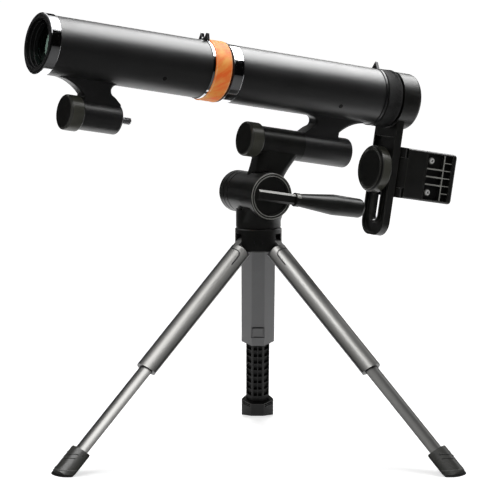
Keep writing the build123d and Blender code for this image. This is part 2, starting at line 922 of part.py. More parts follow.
with BuildPart() as jaw:
    with BuildSketch(clip_plan.offset(-clip_half)):
        with BuildLine():
            Polyline(
                (jaw_start, -clip_near),
                (jaw_end, -clip_near),
                (jaw_end, jaw_reach),
                (jaw_wall_start, jaw_reach),
                (jaw_wall_start, -clip_split - slip_gap),
                (jaw_start, -clip_split - slip_gap),
                close=True,
            )
        make_face()
    extrude(amount=2 * clip_half)
    fillet(jaw.edges().filter_by(near_axis).sort_by(clamp_axis)[-2:], jaw_corner)
    fillet(jaw.faces().sort_by(near_axis)[-1].edges().sort_by(clamp_axis)[1:], clip_round)
    with BuildSketch(clamp_side.offset(clip_near)):
        with Locations((plate_start, 0)):
            Rectangle(plate_end - plate_start, 2 * plate_half, align=(Align.MIN, Align.CENTER))
    extrude(amount=-plate_depth, mode=Mode.SUBTRACT)
    with BuildSketch(clamp_side.offset(clip_near - plate_depth)):
        with Locations((jaw_screw_along, rod_spread), (jaw_screw_along, -rod_spread)):
            Circle(jaw_screw_shank)
    extrude(amount=-jaw_screw_length, mode=Mode.SUBTRACT)
    with BuildSketch(clamp_end.offset(jaw_wall_start)):
        with Locations((-rod_out, rod_spread), (-rod_out, -rod_spread)):
            Circle(rod_radius)
    extrude(amount=jaw_wall - clip_round, mode=Mode.SUBTRACT)

with BuildPart() as jaw_backplate:
    with BuildSketch(clamp_side.offset(clip_near - plate_depth)):
        with Locations((plate_start, 0)):
            Rectangle(plate_end - plate_start, 2 * plate_half, align=(Align.MIN, Align.CENTER))
    extrude(amount=plate_thickness)
    with BuildSketch(plate_face):
        with Locations((plate_start, 0)):
            with GridLocations(0, plate_rib_pitch, 1, plate_rib_count):
                Rectangle(spine_along - plate_start, plate_rib_width, align=(Align.MIN, Align.CENTER))
        with Locations((spine_along, 0)):
            Rectangle(spine_width, 2 * plate_half)
            with GridLocations(0, pocket_pitch, 1, pocket_rows - 1):
                Rectangle(plate_end - spine_along, pocket_web, align=(Align.MIN, Align.CENTER))
    extrude(amount=plate_rib_height)
    with BuildSketch(plate_face):
        with Locations((jaw_screw_along, rod_spread), (jaw_screw_along, -rod_spread)):
            Circle(boss_head)
    extrude(amount=boss_height)
    with BuildSketch(clamp_side.offset(clip_near)):
        with Locations((jaw_screw_along, rod_spread), (jaw_screw_along, -rod_spread)):
            Circle(jaw_screw_shank)
    extrude(amount=-plate_depth, mode=Mode.SUBTRACT)

with BuildPart() as jaw_screws:
    with BuildSketch(plate_face.offset(boss_height)):
        with Locations((jaw_screw_along, rod_spread), (jaw_screw_along, -rod_spread)):
            Circle(jaw_screw_head)
    extrude(amount=jaw_screw_head_height)
    with BuildSketch(plate_face.offset(boss_height)):
        with Locations((jaw_screw_along, rod_spread), (jaw_screw_along, -rod_spread)):
            Circle(jaw_screw_shank)
    extrude(amount=-boss_height - plate_thickness - jaw_screw_length)

with BuildPart() as jaw_pad:
    with BuildSketch(clip_plan.offset(-pad_half)):
        with Locations((jaw_wall_start, -clip_far + slip_gap)):
            Rectangle(pad_thickness, clip_far + jaw_reach - slip_gap, align=(Align.MAX, Align.MIN))
    extrude(amount=2 * pad_half)

with BuildPart() as guide_rods:
    with BuildSketch(clamp_end.offset(rod_start)):
        with Locations((-rod_out, rod_spread), (-rod_out, -rod_spread)):
            Circle(rod_radius)
    extrude(amount=jaw_end - clip_round - rod_start)

# saddle: sleeve, neck and the far half of the tilt barrel
with BuildPart() as saddle:
    for height, front, back, half in (
        (neck_root, neck_front_foot, neck_rear_foot, neck_half),
        (neck_waist, neck_front_waist, neck_rear_waist, neck_half),
        (neck_top, neck_front, neck_rear, neck_top_half),
    ):
        with BuildSketch(neck_plan.offset(height)):
            with Locations(((back - front) / 2, 0)):
                RectangleRounded(front + back, 2 * half, neck_round)
    loft()
    with BuildSketch(tilt_side.offset(run_gap)):
        Circle(barrel_radius + pass_gap)
    extrude(amount=neck_half + pass_gap, mode=Mode.SUBTRACT)
    with BuildSketch(drum_side):
        with BuildLine():
            Polyline(
                (0, 0),
                (0, drum_radius),
                (-groove_first, drum_radius),
                (-groove_first, drum_radius - drum_groove),
                (-groove_first - drum_groove_width, drum_radius - drum_groove),
                (-groove_first - drum_groove_width, drum_radius),
                (-groove_second, drum_radius),
                (-groove_second, drum_radius - drum_groove),
                (-groove_second - drum_groove_width, drum_radius - drum_groove),
                (-groove_second - drum_groove_width, drum_radius),
                (-drum_length, drum_radius),
                (-drum_length, 0),
                close=True,
            )
        make_face()
    revolve(axis=tilt_axis)
    with BuildSketch(boss_end.offset(saddle_start)):
        Circle(boss_radius)
    extrude(amount=neck_front + saddle_rear)
    with BuildSketch(boss_end.offset(saddle_start)):
        Circle(screw_radius + run_gap)
    extrude(amount=neck_front + saddle_rear, mode=Mode.SUBTRACT)
    with BuildSketch(tilt_side.offset(-drum_length)):
        Circle(shaft_radius)
    extrude(amount=drum_length + neck_half + pass_gap, mode=Mode.SUBTRACT)

with BuildPart() as drum_cap:
    with BuildSketch(drum_side) as drum_cap_outline:
        with Locations((-drum_length, 0)):
            Rectangle(drum_cap_length, drum_radius, align=(Align.MAX, Align.MIN))
        fillet(drum_cap_outline.vertices().group_by(Axis.X)[0].sort_by(Axis.Y)[-1], drum_cap_round)
    revolve(axis=tilt_axis)
    with BuildSketch(tilt_side.offset(-shaft_end)):
        Circle(shaft_radius)
    extrude(amount=shaft_end - drum_length, mode=Mode.SUBTRACT)

with BuildPart() as saddle_knob:
    with BuildSketch(boss_side):
        with BuildLine():
            knob_outline(saddle_start - slip_gap)
        make_face()
    revolve(axis=boss_axis)

with BuildPart() as saddle_screw:
    with BuildSketch(boss_end.offset(saddle_start - slip_gap - knob_socket)):
        Circle(screw_radius)
    extrude(amount=knob_socket + neck_front + saddle_rear + boss_bore_length - slip_gap)

with BuildPart() as tilt_shaft:
    with BuildSketch(tilt_side.offset(-shaft_end)):
        Circle(shaft_radius)
    extrude(amount=shaft_end + disc_start)

with BuildPart() as tilt_disc:
    with BuildSketch(tilt_side.offset(disc_start)):
        Circle(disc_radius)
    extrude(amount=disc_inset + disc_proud)
    with BuildSketch(tilt_side.offset(disc_end)):
        Circle(disc_radius - disc_rim)
        Rectangle(2 * disc_radius, 2 * bar_half, mode=Mode.SUBTRACT)
    extrude(amount=-disc_dish, mode=Mode.SUBTRACT)
    with BuildSketch(tilt_side.offset(disc_end)):
        with Locations(((bar_right - bar_left) / 2, 0)):
            Rectangle(bar_left + bar_right, 2 * bar_half)
    extrude(amount=bar_height)
    chamfer(tilt_disc.faces().sort_by(tilt_axis)[-1].edges().filter_by(handle_axis), bar_chamfer)
    with BuildSketch(handle_side):
        with Locations((bar_right, 0)):
            Rectangle(
                handle_collar_length - slip_gap,
                handle_collar_radius,
                align=(Align.MIN, Align.MIN),
            )
    revolve(axis=handle_axis)
    with BuildSketch(handle_side):
        with Locations((handle_screw_start, 0)):
            Rectangle(
                handle_start - handle_screw_start,
                handle_screw_radius + run_gap,
                align=(Align.MIN, Align.MIN),
            )
    revolve(axis=handle_axis, mode=Mode.SUBTRACT)

with BuildPart() as pan_handle:
    with BuildSketch(handle_side) as handle_outline:
        with BuildLine():
            Polyline(
                (handle_start, handle_screw_radius),
                (handle_start, handle_neck),
                (handle_belly_along, handle_belly),
                (handle_end, handle_tip),
                (handle_end, 0),
                (handle_screw_end, 0),
                (handle_screw_end, handle_screw_radius),
                close=True,
            )
        make_face()
        fillet(handle_outline.vertices().group_by(Axis.X)[-1].sort_by(Axis.Y)[-1], handle_round)
    revolve(axis=handle_axis)

with BuildPart() as handle_screw:
    with BuildSketch(handle_side):
        with Locations((handle_screw_start + slip_gap, 0)):
            Rectangle(
                handle_screw_end - handle_screw_start - slip_gap,
                handle_screw_radius,
                align=(Align.MIN, Align.MIN),
            )
    revolve(axis=handle_axis)

# yoke that carries the tilt barrel and turns on the hub
with BuildPart() as pan_yoke:
    with BuildSketch(post_plan.offset(pan_bottom)):
        Circle(pan_radius)
    extrude(amount=pan_height)
    with BuildSketch(post_plan.offset(pan_bottom + blend_rise)):
        Circle(pan_radius)
    with BuildSketch(blend_plan):
        with Locations(((barrel_start + barrel_end - barrel_chamfer) / 2, 0)):
            RectangleRounded(barrel_end - barrel_chamfer - barrel_start, 2 * blend_half, blend_round)
    loft()
    with BuildSketch(post_plan.offset(hub_top + slip_gap)):
        Circle(pan_radius - thrust_step)
    extrude(amount=pan_gap - slip_gap)
    with BuildSketch(yoke_side.offset(barrel_start)):
        Circle(drum_radius + pass_gap)
    extrude(amount=-2 * pan_radius, mode=Mode.SUBTRACT)
    with BuildSketch(drum_side):
        with BuildLine():
            Polyline(
                (barrel_start, shaft_radius + run_gap),
                (barrel_start, barrel_radius),
                (barrel_end - barrel_chamfer, barrel_radius),
                (barrel_end, barrel_radius - barrel_chamfer),
                (barrel_end, disc_radius + slip_gap),
                (disc_start - slip_gap, disc_radius + slip_gap),
                (disc_start - slip_gap, shaft_radius + run_gap),
                close=True,
            )
        make_face()
    revolve(axis=tilt_axis)
    with BuildSketch(tilt_side.offset(barrel_start)):
        Circle(shaft_radius + run_gap)
    extrude(amount=barrel_end, mode=Mode.SUBTRACT)
    with BuildSketch(tilt_side.offset(disc_start - slip_gap)):
        Circle(disc_radius + slip_gap)
    extrude(amount=barrel_end, mode=Mode.SUBTRACT)
    with BuildSketch(post_plan.offset(hub_top)):
        Circle(bolt_radius)
    extrude(amount=bolt_top - hub_top, mode=Mode.SUBTRACT)

with BuildPart() as tilt_washer:
    with BuildSketch(tilt_side.offset(barrel_start - washer_thickness)):
        Circle(washer_radius)
        Circle(shaft_radius + run_gap, mode=Mode.SUBTRACT)
    extrude(amount=washer_thickness)

with BuildPart() as pan_bolt:
    with BuildSketch(post_plan.offset(hub_bottom + slip_gap)):
        Circle(bolt_head_radius)
    extrude(amount=bolt_head_length)
    with BuildSketch(post_plan.offset(hub_bottom + slip_gap)):
        Circle(bolt_radius)
    extrude(amount=bolt_top - hub_bottom - slip_gap)

# hub with three leg slots, cut back where a leg's shoulder rests and where it swings past
leg_planes = []
folding_planes = []
for leg in range(leg_count):
    bearing = radians(90 + leg * 360 / leg_count)
    out = Vector(cos(bearing), sin(bearing), 0)
    aside = Vector(-sin(bearing), cos(bearing), 0)
    pivot = Vector(axis_x, axis_y, pivot_height) + out * pivot_radius
    down = out * sin(radians(leg_spread)) - Vector(0, 0, cos(radians(leg_spread)))
    half_down = out * sin(radians(leg_spread / 2)) - Vector(0, 0, cos(radians(leg_spread / 2)))
    leg_planes.append(Plane(origin=pivot, x_dir=down.cross(aside), z_dir=down))
    folding_planes.append(Plane(origin=pivot, x_dir=aside, z_dir=half_down))

with BuildPart() as hub:
    with BuildSketch(post_plan.offset(hub_bottom)):
        Circle(hub_radius)
    extrude(amount=hub_below + hub_above)
    chamfer(hub.edges().filter_by(GeomType.CIRCLE), hub_edge)
    for leg in range(leg_count):
        bearing = 90 + leg * 360 / leg_count
        slot_plane = post_plan.rotated((0, 0, bearing)).offset(hub_bottom)
        with BuildSketch(slot_plane):
            with Locations((pivot_radius - tongue_radius - pass_gap, 0)):
                Rectangle(hub_radius, 2 * (tongue_half + slip_gap), align=(Align.MIN, Align.CENTER))
        extrude(amount=pivot_height + tongue_radius + pass_gap - hub_bottom, mode=Mode.SUBTRACT)
        for shoulder_plane in (leg_planes[leg], folding_planes[leg]):
            with BuildSketch(shoulder_plane.offset(leg_shoulder - slip_gap)):
                Rectangle(4 * hub_radius, 4 * hub_radius)
            extrude(amount=2 * hub_radius, mode=Mode.SUBTRACT)
        pin_plane = Plane(origin=leg_planes[leg].origin, z_dir=leg_planes[leg].y_dir)
        with BuildSketch(pin_plane):
            Circle(pin_radius)
        extrude(amount=pin_half, both=True, mode=Mode.SUBTRACT)
    with BuildSketch(post_plan.offset(hub_bottom)):
        Circle(bolt_radius + run_gap)
    extrude(amount=hub_below + hub_above, mode=Mode.SUBTRACT)
    with BuildSketch(post_plan.offset(hub_bottom)):
        Circle(bolt_head_radius + slip_gap)
    extrude(amount=bolt_head_length + slip_gap + run_gap, mode=Mode.SUBTRACT)

with BuildPart() as leg_pins:
    for leg in range(leg_count):
        with BuildSketch(Plane(origin=leg_planes[leg].origin, z_dir=leg_planes[leg].y_dir)):
            Circle(pin_radius)
        extrude(amount=pin_half, both=True)

fixed_pieces = {
    "objective_bezel": objective_bezel,
    "lens_cell": lens_cell,
    "objective_lens": objective_lens,
    "lens_retainer": lens_retainer,
    "front_tube": front_tube,
    "front_knob": front_knob,
    "front_stud": front_stud,
    "coupling_sleeve": coupling_sleeve,
    "notch_sight": notch_sight,
    "joint_band": joint_band,
    "joint_collar": joint_collar,
    "rear_tube": rear_tube,
    "tube_baffles": tube_baffles,
    "set_screws": set_screws,
    "bead_sight": bead_sight,
    "focus_ring": focus_ring,
    "draw_tube": draw_tube,
    "field_lens": field_lens,
    "eye_lens": eye_lens,
    "eyecup": eyecup,
    "adapter_arm": adapter_arm,
    "clamp_knob": clamp_knob,
    "clamp_screw": clamp_screw,
    "carriage": carriage,
    "hinge_pin": hinge_pin,
    "clip_body": clip_body,
    "clip_pad": clip_pad,
    "jaw": jaw,
    "jaw_backplate": jaw_backplate,
    "jaw_screws": jaw_screws,
    "jaw_pad": jaw_pad,
    "guide_rods": guide_rods,
    "saddle": saddle,
    "drum_cap": drum_cap,
    "saddle_knob": saddle_knob,
    "saddle_screw": saddle_screw,
    "tilt_shaft": tilt_shaft,
    "tilt_disc": tilt_disc,
    "pan_handle": pan_handle,
    "handle_screw": handle_screw,
    "pan_yoke": pan_yoke,
    "tilt_washer": tilt_washer,
    "pan_bolt": pan_bolt,
    "hub": hub,
    "leg_pins": leg_pins,
}
os.makedirs("parts", exist_ok=True)
for label, piece in fixed_pieces.items():
    piece.part.label = label
    export_step(piece.part, f"parts/{label}.step")

# three equal legs, each a third of a round bar, so that they fold into one round grip
wedge_angle = radians(180 / leg_count)
wedge = tan(wedge_angle)
skin_half = leg_radius * sin(wedge_angle)
inner_flank = leg_flank + leg_wall
inner_facet = leg_facet + leg_wall
lower_radius = leg_radius - leg_wall - slip_gap
lower_flank = inner_flank + slip_gap
lower_facet = inner_facet + facet_gap


def facet_half(facet, flank):
    return (facet - flank / sin(wedge_angle)) * wedge


def wedge_section(radius, facet, flank):
    Circle(radius)
    Polygon(
        (facet, facet_half(facet, flank)),
        (facet, -facet_half(facet, flank)),
        (radius, -facet_half(radius, flank)),
        (radius, facet_half(radius, flank)),
        align=None,
        mode=Mode.INTERSECT,
    )


def flank_span(radius, facet, flank):
    inner = facet * cos(wedge_angle) + facet_half(facet, flank) * sin(wedge_angle)
    return inner, sqrt(radius**2 - flank**2)


def flank_plane(grip, side, flank, along):
    inward = grip.x_dir * sin(wedge_angle) - grip.y_dir * side * cos(wedge_angle)
    return Plane(
        origin=grip.origin + inward * flank + grip.z_dir * along, x_dir=grip.z_dir, z_dir=inward
    )


for leg in range(leg_count):
    # section planes count x from the folded grip's centre line
    grip = Plane(
        origin=leg_planes[leg].origin - leg_planes[leg].x_dir * pivot_radius,
        x_dir=leg_planes[leg].x_dir,
        z_dir=leg_planes[leg].z_dir,
    )
    leg_side = Plane(origin=grip.origin, x_dir=grip.x_dir, z_dir=grip.y_dir)
    leg_front = Plane(origin=grip.origin, x_dir=grip.y_dir, z_dir=grip.x_dir)

    # shallow arched groove that sets the skin off from the end cap
    with BuildPart() as panel_cut:
        with BuildSketch(leg_front):
            with Locations((0, leg_shoulder + panel_rim)):
                RectangleRounded(
                    2 * (skin_half - panel_rim),
                    2 * panel_length,
                    leg_round - panel_rim / 2,
                    align=(Align.CENTER, Align.MIN),
                )
            with Locations((0, leg_shoulder + panel_rim + panel_groove)):
                RectangleRounded(
                    2 * (skin_half - panel_rim - panel_groove),
                    2 * panel_length,
                    leg_round - panel_rim / 2 - panel_groove,
                    align=(Align.CENTER, Align.MIN),
                    mode=Mode.SUBTRACT,
                )
            with Locations((0, leg_shoulder + panel_length)):
                Rectangle(
                    2 * leg_radius,
                    2 * panel_length,
                    align=(Align.CENTER, Align.MIN),
                    mode=Mode.SUBTRACT,
                )
        extrude(amount=leg_radius)
        with BuildSketch(grip):
            Circle(leg_radius - panel_depth)
        extrude(amount=upper_end, mode=Mode.SUBTRACT)

    with BuildPart() as upper_leg:
        with BuildSketch(grip.offset(leg_shoulder)) as upper_section:
            wedge_section(leg_radius, leg_facet, leg_flank)
            fillet(upper_section.vertices(), leg_corner)
        extrude(amount=upper_end - leg_shoulder)
        with BuildSketch(leg_front):
            with Locations((0, leg_shoulder)):
                Rectangle(2 * leg_radius, leg_round, align=(Align.CENTER, Align.MIN))
                RectangleRounded(
                    2 * skin_half,
                    3 * leg_round,
                    leg_round,
                    align=(Align.CENTER, Align.MIN),
                    mode=Mode.SUBTRACT,
                )
        extrude(amount=leg_radius, mode=Mode.SUBTRACT)
        add(panel_cut.part, mode=Mode.SUBTRACT)
        with BuildSketch(leg_side):
            with Locations((pivot_radius, 0)):
                Circle(tongue_radius)
            with Locations((pivot_radius, -leg_shoulder / 2)):
                Rectangle(2 * tongue_radius, leg_shoulder)
        extrude(amount=tongue_half, both=True)
        with BuildSketch(leg_side):
            with Locations((pivot_radius, 0)):
                Circle(pin_radius + run_gap)
        extrude(amount=tongue_half, both=True, mode=Mode.SUBTRACT)
        with BuildSketch(grip.offset(cavity_start)):
            wedge_section(leg_radius - leg_wall, inner_facet, inner_flank)
        extrude(amount=upper_end - cavity_start, mode=Mode.SUBTRACT)
        with BuildSketch(grip.offset(button_along - button_length / 2 - slip_gap)):
            with Locations((leg_facet, 0)):
                Rectangle(2 * leg_wall + slip_gap, 2 * (button_half + slip_gap))
        extrude(amount=button_length + 2 * slip_gap, mode=Mode.SUBTRACT)
        with BuildSketch(grip.offset(button_along - button_length / 2 - button_ledge)):
            with Locations((leg_facet, 0)):
                Rectangle(2 * button_recess, 2 * leg_facet * wedge)
        extrude(amount=button_length + 2 * button_ledge, mode=Mode.SUBTRACT)
    upper_leg.part.label = f"upper_leg_{leg + 1}"
    export_step(upper_leg.part, f"parts/upper_leg_{leg + 1}.step")

    with BuildPart() as release_button:
        with BuildSketch(grip.offset(button_along - button_length / 2)):
            with Locations((leg_facet - button_proud, 0)):
                Rectangle(button_proud + button_depth, 2 * button_half, align=(Align.MIN, Align.CENTER))
        extrude(amount=button_length)
    release_button.part.label = f"release_button_{leg + 1}"
    export_step(release_button.part, f"parts/release_button_{leg + 1}.step")

    # lower leg: two columns of pockets in the inner facet and one in each flank
    facet_column = facet_half(lower_facet, lower_flank) - rib_web
    flank_inner, flank_outer = flank_span(lower_radius, lower_facet, lower_flank)
    rib_middle = foot_top - rib_rows * rib_row_pitch / 2
    with BuildPart() as lower_leg:
        with BuildSketch(grip.offset(lower_start)):
            wedge_section(lower_radius, lower_facet, lower_flank)
        extrude(amount=foot_top - lower_start)
        facet_plane = Plane(
            origin=grip.origin + grip.x_dir * lower_facet + grip.z_dir * rib_middle,
            x_dir=grip.z_dir,
            z_dir=grip.x_dir,
        )
        with BuildSketch(facet_plane):
            with GridLocations(rib_row_pitch, facet_column, rib_rows, 2):
                Rectangle(rib_row_pitch - rib_web, facet_column - rib_web)
        extrude(amount=rib_depth, mode=Mode.SUBTRACT)
        for side in (-1, 1):
            with BuildSketch(flank_plane(grip, side, lower_flank, rib_middle)):
                with Locations((0, -side * (flank_inner + flank_outer) / 2)):
                    with GridLocations(rib_row_pitch, flank_outer, rib_rows, 1):
                        Rectangle(rib_row_pitch - rib_web, flank_outer - flank_inner - 2 * rib_web)
            extrude(amount=rib_depth, mode=Mode.SUBTRACT)
    lower_leg.part.label = f"lower_leg_{leg + 1}"
    export_step(lower_leg.part, f"parts/lower_leg_{leg + 1}.step")

    # foot: cut level at the sole, with a rounded toe and two slots in each inner flank
    slot_inner, slot_outer = flank_span(leg_radius, leg_facet, leg_flank)
    with BuildPart() as foot:
        with BuildSketch(grip.offset(foot_top)) as foot_section:
            wedge_section(leg_radius, leg_facet, leg_flank)
            fillet(foot_section.vertices(), leg_corner)
        extrude(amount=foot_length + leg_radius)
        foot_end = grip.origin + grip.z_dir * leg_length
        with BuildSketch(Plane(origin=(foot_end.X, foot_end.Y, sole_thickness))):
            Rectangle(foot_box, foot_box)
        extrude(amount=-foot_height, mode=Mode.SUBTRACT)
        foot_out = Vector(grip.z_dir.X, grip.z_dir.Y, 0).normalized()
        toe_tip = grip.origin + grip.x_dir * leg_radius
        toe_tip = toe_tip - grip.z_dir * (toe_tip.Z / grip.z_dir.Z)
        toe_plane = Plane(origin=toe_tip - foot_out * toe_blunt, x_dir=foot_out, z_dir=(0, 0, 1))
        with BuildSketch(toe_plane):
            with Locations((-toe_curve, 0)):
                Rectangle(2 * toe_curve, 2 * toe_curve, align=(Align.MIN, Align.CENTER))
                Circle(toe_curve, mode=Mode.SUBTRACT)
        extrude(amount=foot_height, mode=Mode.SUBTRACT)
        for side in (-1, 1):
            with BuildSketch(flank_plane(grip, side, leg_flank, foot_top + foot_slot_inset)):
                with Locations((0, -side * (slot_inner + slot_outer) / 2)):
                    with GridLocations(foot_slot_pitch, slot_outer, 2, 1):
                        Rectangle(foot_slot_width, slot_outer - slot_inner - 2 * foot_slot_web)
            extrude(amount=foot_slot_depth, mode=Mode.SUBTRACT)
    foot.part.label = f"foot_{leg + 1}"
    export_step(foot.part, f"parts/foot_{leg + 1}.step")

    with BuildPart() as sole:
        sole_run = sole_thickness / cos(radians(leg_spread))
        extrude(foot.faces().sort_by(Axis.Z)[0], amount=sole_run, dir=grip.z_dir)
    sole.part.label = f"sole_{leg + 1}"
    export_step(sole.part, f"parts/sole_{leg + 1}.step")
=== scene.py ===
import json
from math import cos, sin, pi, radians, sqrt
import bmesh
import bpy
from mathutils import Matrix, Vector

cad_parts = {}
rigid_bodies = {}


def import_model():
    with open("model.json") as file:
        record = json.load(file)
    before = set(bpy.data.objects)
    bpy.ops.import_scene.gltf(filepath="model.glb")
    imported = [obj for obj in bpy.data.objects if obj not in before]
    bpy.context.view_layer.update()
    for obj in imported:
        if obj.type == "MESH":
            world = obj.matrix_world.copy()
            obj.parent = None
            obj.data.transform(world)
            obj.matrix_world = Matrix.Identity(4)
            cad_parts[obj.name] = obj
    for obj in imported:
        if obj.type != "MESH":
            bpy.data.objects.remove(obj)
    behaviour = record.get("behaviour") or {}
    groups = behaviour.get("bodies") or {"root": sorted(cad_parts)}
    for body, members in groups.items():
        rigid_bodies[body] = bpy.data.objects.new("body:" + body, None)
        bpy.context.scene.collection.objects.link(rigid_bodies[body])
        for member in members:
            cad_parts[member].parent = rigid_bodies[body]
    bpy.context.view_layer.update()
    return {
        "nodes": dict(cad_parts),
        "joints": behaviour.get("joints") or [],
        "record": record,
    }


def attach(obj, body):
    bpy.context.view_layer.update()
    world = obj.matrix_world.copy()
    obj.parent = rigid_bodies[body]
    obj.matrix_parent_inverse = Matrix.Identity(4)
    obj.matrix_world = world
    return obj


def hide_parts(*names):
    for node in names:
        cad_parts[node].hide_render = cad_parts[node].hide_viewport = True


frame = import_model()
nodes = frame["nodes"]
joints = {j["name"]: j for j in frame["joints"]}
bodyOf = {n: b for b, ns in frame["record"]["behaviour"]["bodies"].items() for n in ns}
slotOf = {s["node"]: s["material_slot"] for s in frame["record"]["subparts"]}
mm = 0.001

# the joints give every direction that the dressing needs
near = Vector(joints["scope_tilt"]["axis"])
rear = Vector(joints["focus_turn"]["axis"])
lift = near.cross(rear).normalized()
axisFoot = Vector((joints["pan_turn"]["pos_m"][0], joints["pan_turn"]["pos_m"][1], 0))
focusFront = Vector(joints["focus_turn"]["pos_m"])
stretch = {"focusFront": 344.6, "bossDrop": 54.8, "clampDrop": 65.0}   # mm along the tube, and below its axis
lensFront = focusFront - rear * stretch["focusFront"] * mm
print("frame loaded:", len(nodes), "nodes")


def along(origin, toward, upward):
    # matrix whose Z runs along toward and whose Y leans to upward
    z = toward.normalized()
    x = upward.cross(z).normalized()
    y = z.cross(x)
    m = Matrix((x, y, z)).transposed().to_4x4()
    m.translation = origin
    return m


scopeFrame = along(lensFront, rear, lift)      # z = backward from the front rim, y = up
toScope = scopeFrame.inverted()
bossFrame = along(lensFront - lift * stretch["bossDrop"] * mm, rear, lift)
clampFrame = along(lensFront - lift * stretch["clampDrop"] * mm, rear, lift)

# camera: the photograph's own view, fitted to the ends of the legs and the feet
# target and sensor in mm, distance and far end in m, elevation in degrees, focal length and frame in pixels
shot = {"target": (-11.16, 0.0, 189.1), "distance": 2.520, "elevation": 6.74, "focal": 2800.0, "frame": 492.0,
        "sensor": 36.0, "far": 50.0}


def placeCamera():
    target = axisFoot + Vector(shot["target"]) * mm
    up = radians(shot["elevation"])
    camData = bpy.data.cameras.new("shotCamera")
    camData.sensor_width = shot["sensor"]
    camData.sensor_fit = "HORIZONTAL"
    camData.lens = shot["sensor"] * shot["focal"] / shot["frame"]
    camData.clip_end = shot["far"]
    cam = bpy.data.objects.new("shotCamera", camData)
    cam.location = target + Vector((0, -cos(up), sin(up))) * shot["distance"]
    cam.rotation_euler = (pi / 2 - up, 0, 0)
    bpy.context.collection.objects.link(cam)
    bpy.context.scene.camera = cam


placeCamera()
print("camera placed")


# shader maths: a Wire is a socket that can be added, subtracted and multiplied
class Wire:
    def __init__(self, tree, socket=None):
        self.tree = tree
        self.socket = socket

    def node(self, kind, settings=None, sockets=None, out=0):
        n = self.tree.nodes.new("ShaderNode" + kind)
        for key, value in (settings or {}).items():
            setattr(n, key, value)
        for key, value in (sockets or {}).items():
            if isinstance(value, Wire):
                self.tree.links.new(value.socket, n.inputs[key])
            else:
                n.inputs[key].default_value = value
        return Wire(self.tree, n.outputs[out])

    def math(self, operation, a, b=0.0):
        return self.node("Math", {"operation": operation}, {0: a, 1: b})

    def __add__(self, other):
        return self.math("ADD", self, other)

    def __radd__(self, other):
        return self.math("ADD", other, self)

    def __sub__(self, other):
        return self.math("SUBTRACT", self, other)

    def __rsub__(self, other):
        return self.math("SUBTRACT", other, self)

    def __mul__(self, other):
        return self.math("MULTIPLY", self, other)

    def __rmul__(self, other):
        return self.math("MULTIPLY", other, self)

    def step(self, low, high):
        # 0 at low, 1 at high
        return self.node("MapRange", None, {"Value": self, "From Min": low, "From Max": high})

    def tint(self, a, b):
        # colour a where this is 0, colour b where it is 1; 6 and 7 are the Mix node's two colours
        ends = {6: a if isinstance(a, Wire) else (*a, 1.0), 7: b if isinstance(b, Wire) else (*b, 1.0)}
        return self.node("Mix", {"data_type": "RGBA"}, {0: self, **ends}, 2)


def newMaterial(name, constants):
    # a Principled material with its fixed numbers set, and a Wire to build on
    mat = bpy.data.materials.new(name)
    mat.use_nodes = True
    shader = mat.node_tree.nodes["Principled BSDF"]
    for key, value in constants.items():
        shader.inputs[key].default_value = value
    return mat, shader, Wire(mat.node_tree)


def feed(mat, shader, **links):
    for key, wire in links.items():
        mat.node_tree.links.new(wire.socket, shader.inputs[key.replace("_", " ")])
    return mat


def place(wire, turned=(0, 0, 0), scale=(1, 1, 1)):
    # Object coordinates, turned and scaled for a pattern
    coords = wire.node("TexCoord", None, None, 3)   # output 3 is Object
    laid = wire.node("Mapping", None, {"Vector": coords, "Rotation": turned})
    return wire.node("Mapping", None, {"Vector": laid, "Scale": scale})


def noise(wire, where, scale, detail=2.0, rough=0.5):
    return wire.node("TexNoise", None, {"Vector": where, "Scale": scale, "Detail": detail, "Roughness": rough})


def bump(wire, height, strength, distance):
    return wire.node("Bump", None, {"Height": height, "Strength": strength, "Distance": distance})


def layAlong(direction):
    # turn that lays a pattern's Z along a direction
    return tuple(direction.to_track_quat("Z", "Y").inverted().to_euler())


# part of a noise's range that goes from the dark tone to the pale one
midTones = (0.3, 0.7)

plasticLook = {"grain": 2600.0, "cloud": 55.0, "cloudShare": 0.7, "grainShare": 0.3, "rough": 0.36, "spread": 0.12,
               "shine": 0.5, "mark": 160.0, "markTurn": (0.4, 0.2, 0.9), "markDrawn": (1, 1, 9),
               "markFrom": (0.62, 0.8), "markRough": 0.06, "relief": 0.22, "depth": 0.00012}


def mouldedPlastic(name, dark, pale, rough=plasticLook["rough"], grain=1.0, shine=plasticLook["shine"]):
    # fine spark-eroded grain with cloudy gloss and faint handling marks
    mat, shader, w = newMaterial(name, {"Specular IOR Level": shine})
    where = place(w)
    cloud = noise(w, where, plasticLook["cloud"], 3.0)
    grains = noise(w, where, plasticLook["grain"], 1.0)
    drawn = place(w, plasticLook["markTurn"], plasticLook["markDrawn"])
    marks = noise(w, drawn, plasticLook["mark"], 4.0, 0.7).step(*plasticLook["markFrom"])
    tone = cloud * plasticLook["cloudShare"] + grains * plasticLook["grainShare"]
    return feed(mat, shader, Base_Color=tone.step(*midTones).tint(dark, pale),
                Roughness=rough + (cloud - 0.5) * plasticLook["spread"] + marks * plasticLook["markRough"],
                Normal=bump(w, grains, plasticLook["relief"] * grain, plasticLook["depth"]))


coatLook = {"dark": (0.0062, 0.0062, 0.0066), "pale": (0.0095, 0.0095, 0.0100), "peel": 1500.0, "cloud": 38.0,
            "rub": 70.0, "rubDrawn": (1, 1, 0.25), "rubFrom": (0.55, 0.85), "rough": 0.40, "spread": 0.1,
            "rubRough": 0.06, "coat": 0.08, "rubCoat": 0.1, "relief": 0.16, "depth": 0.0001}


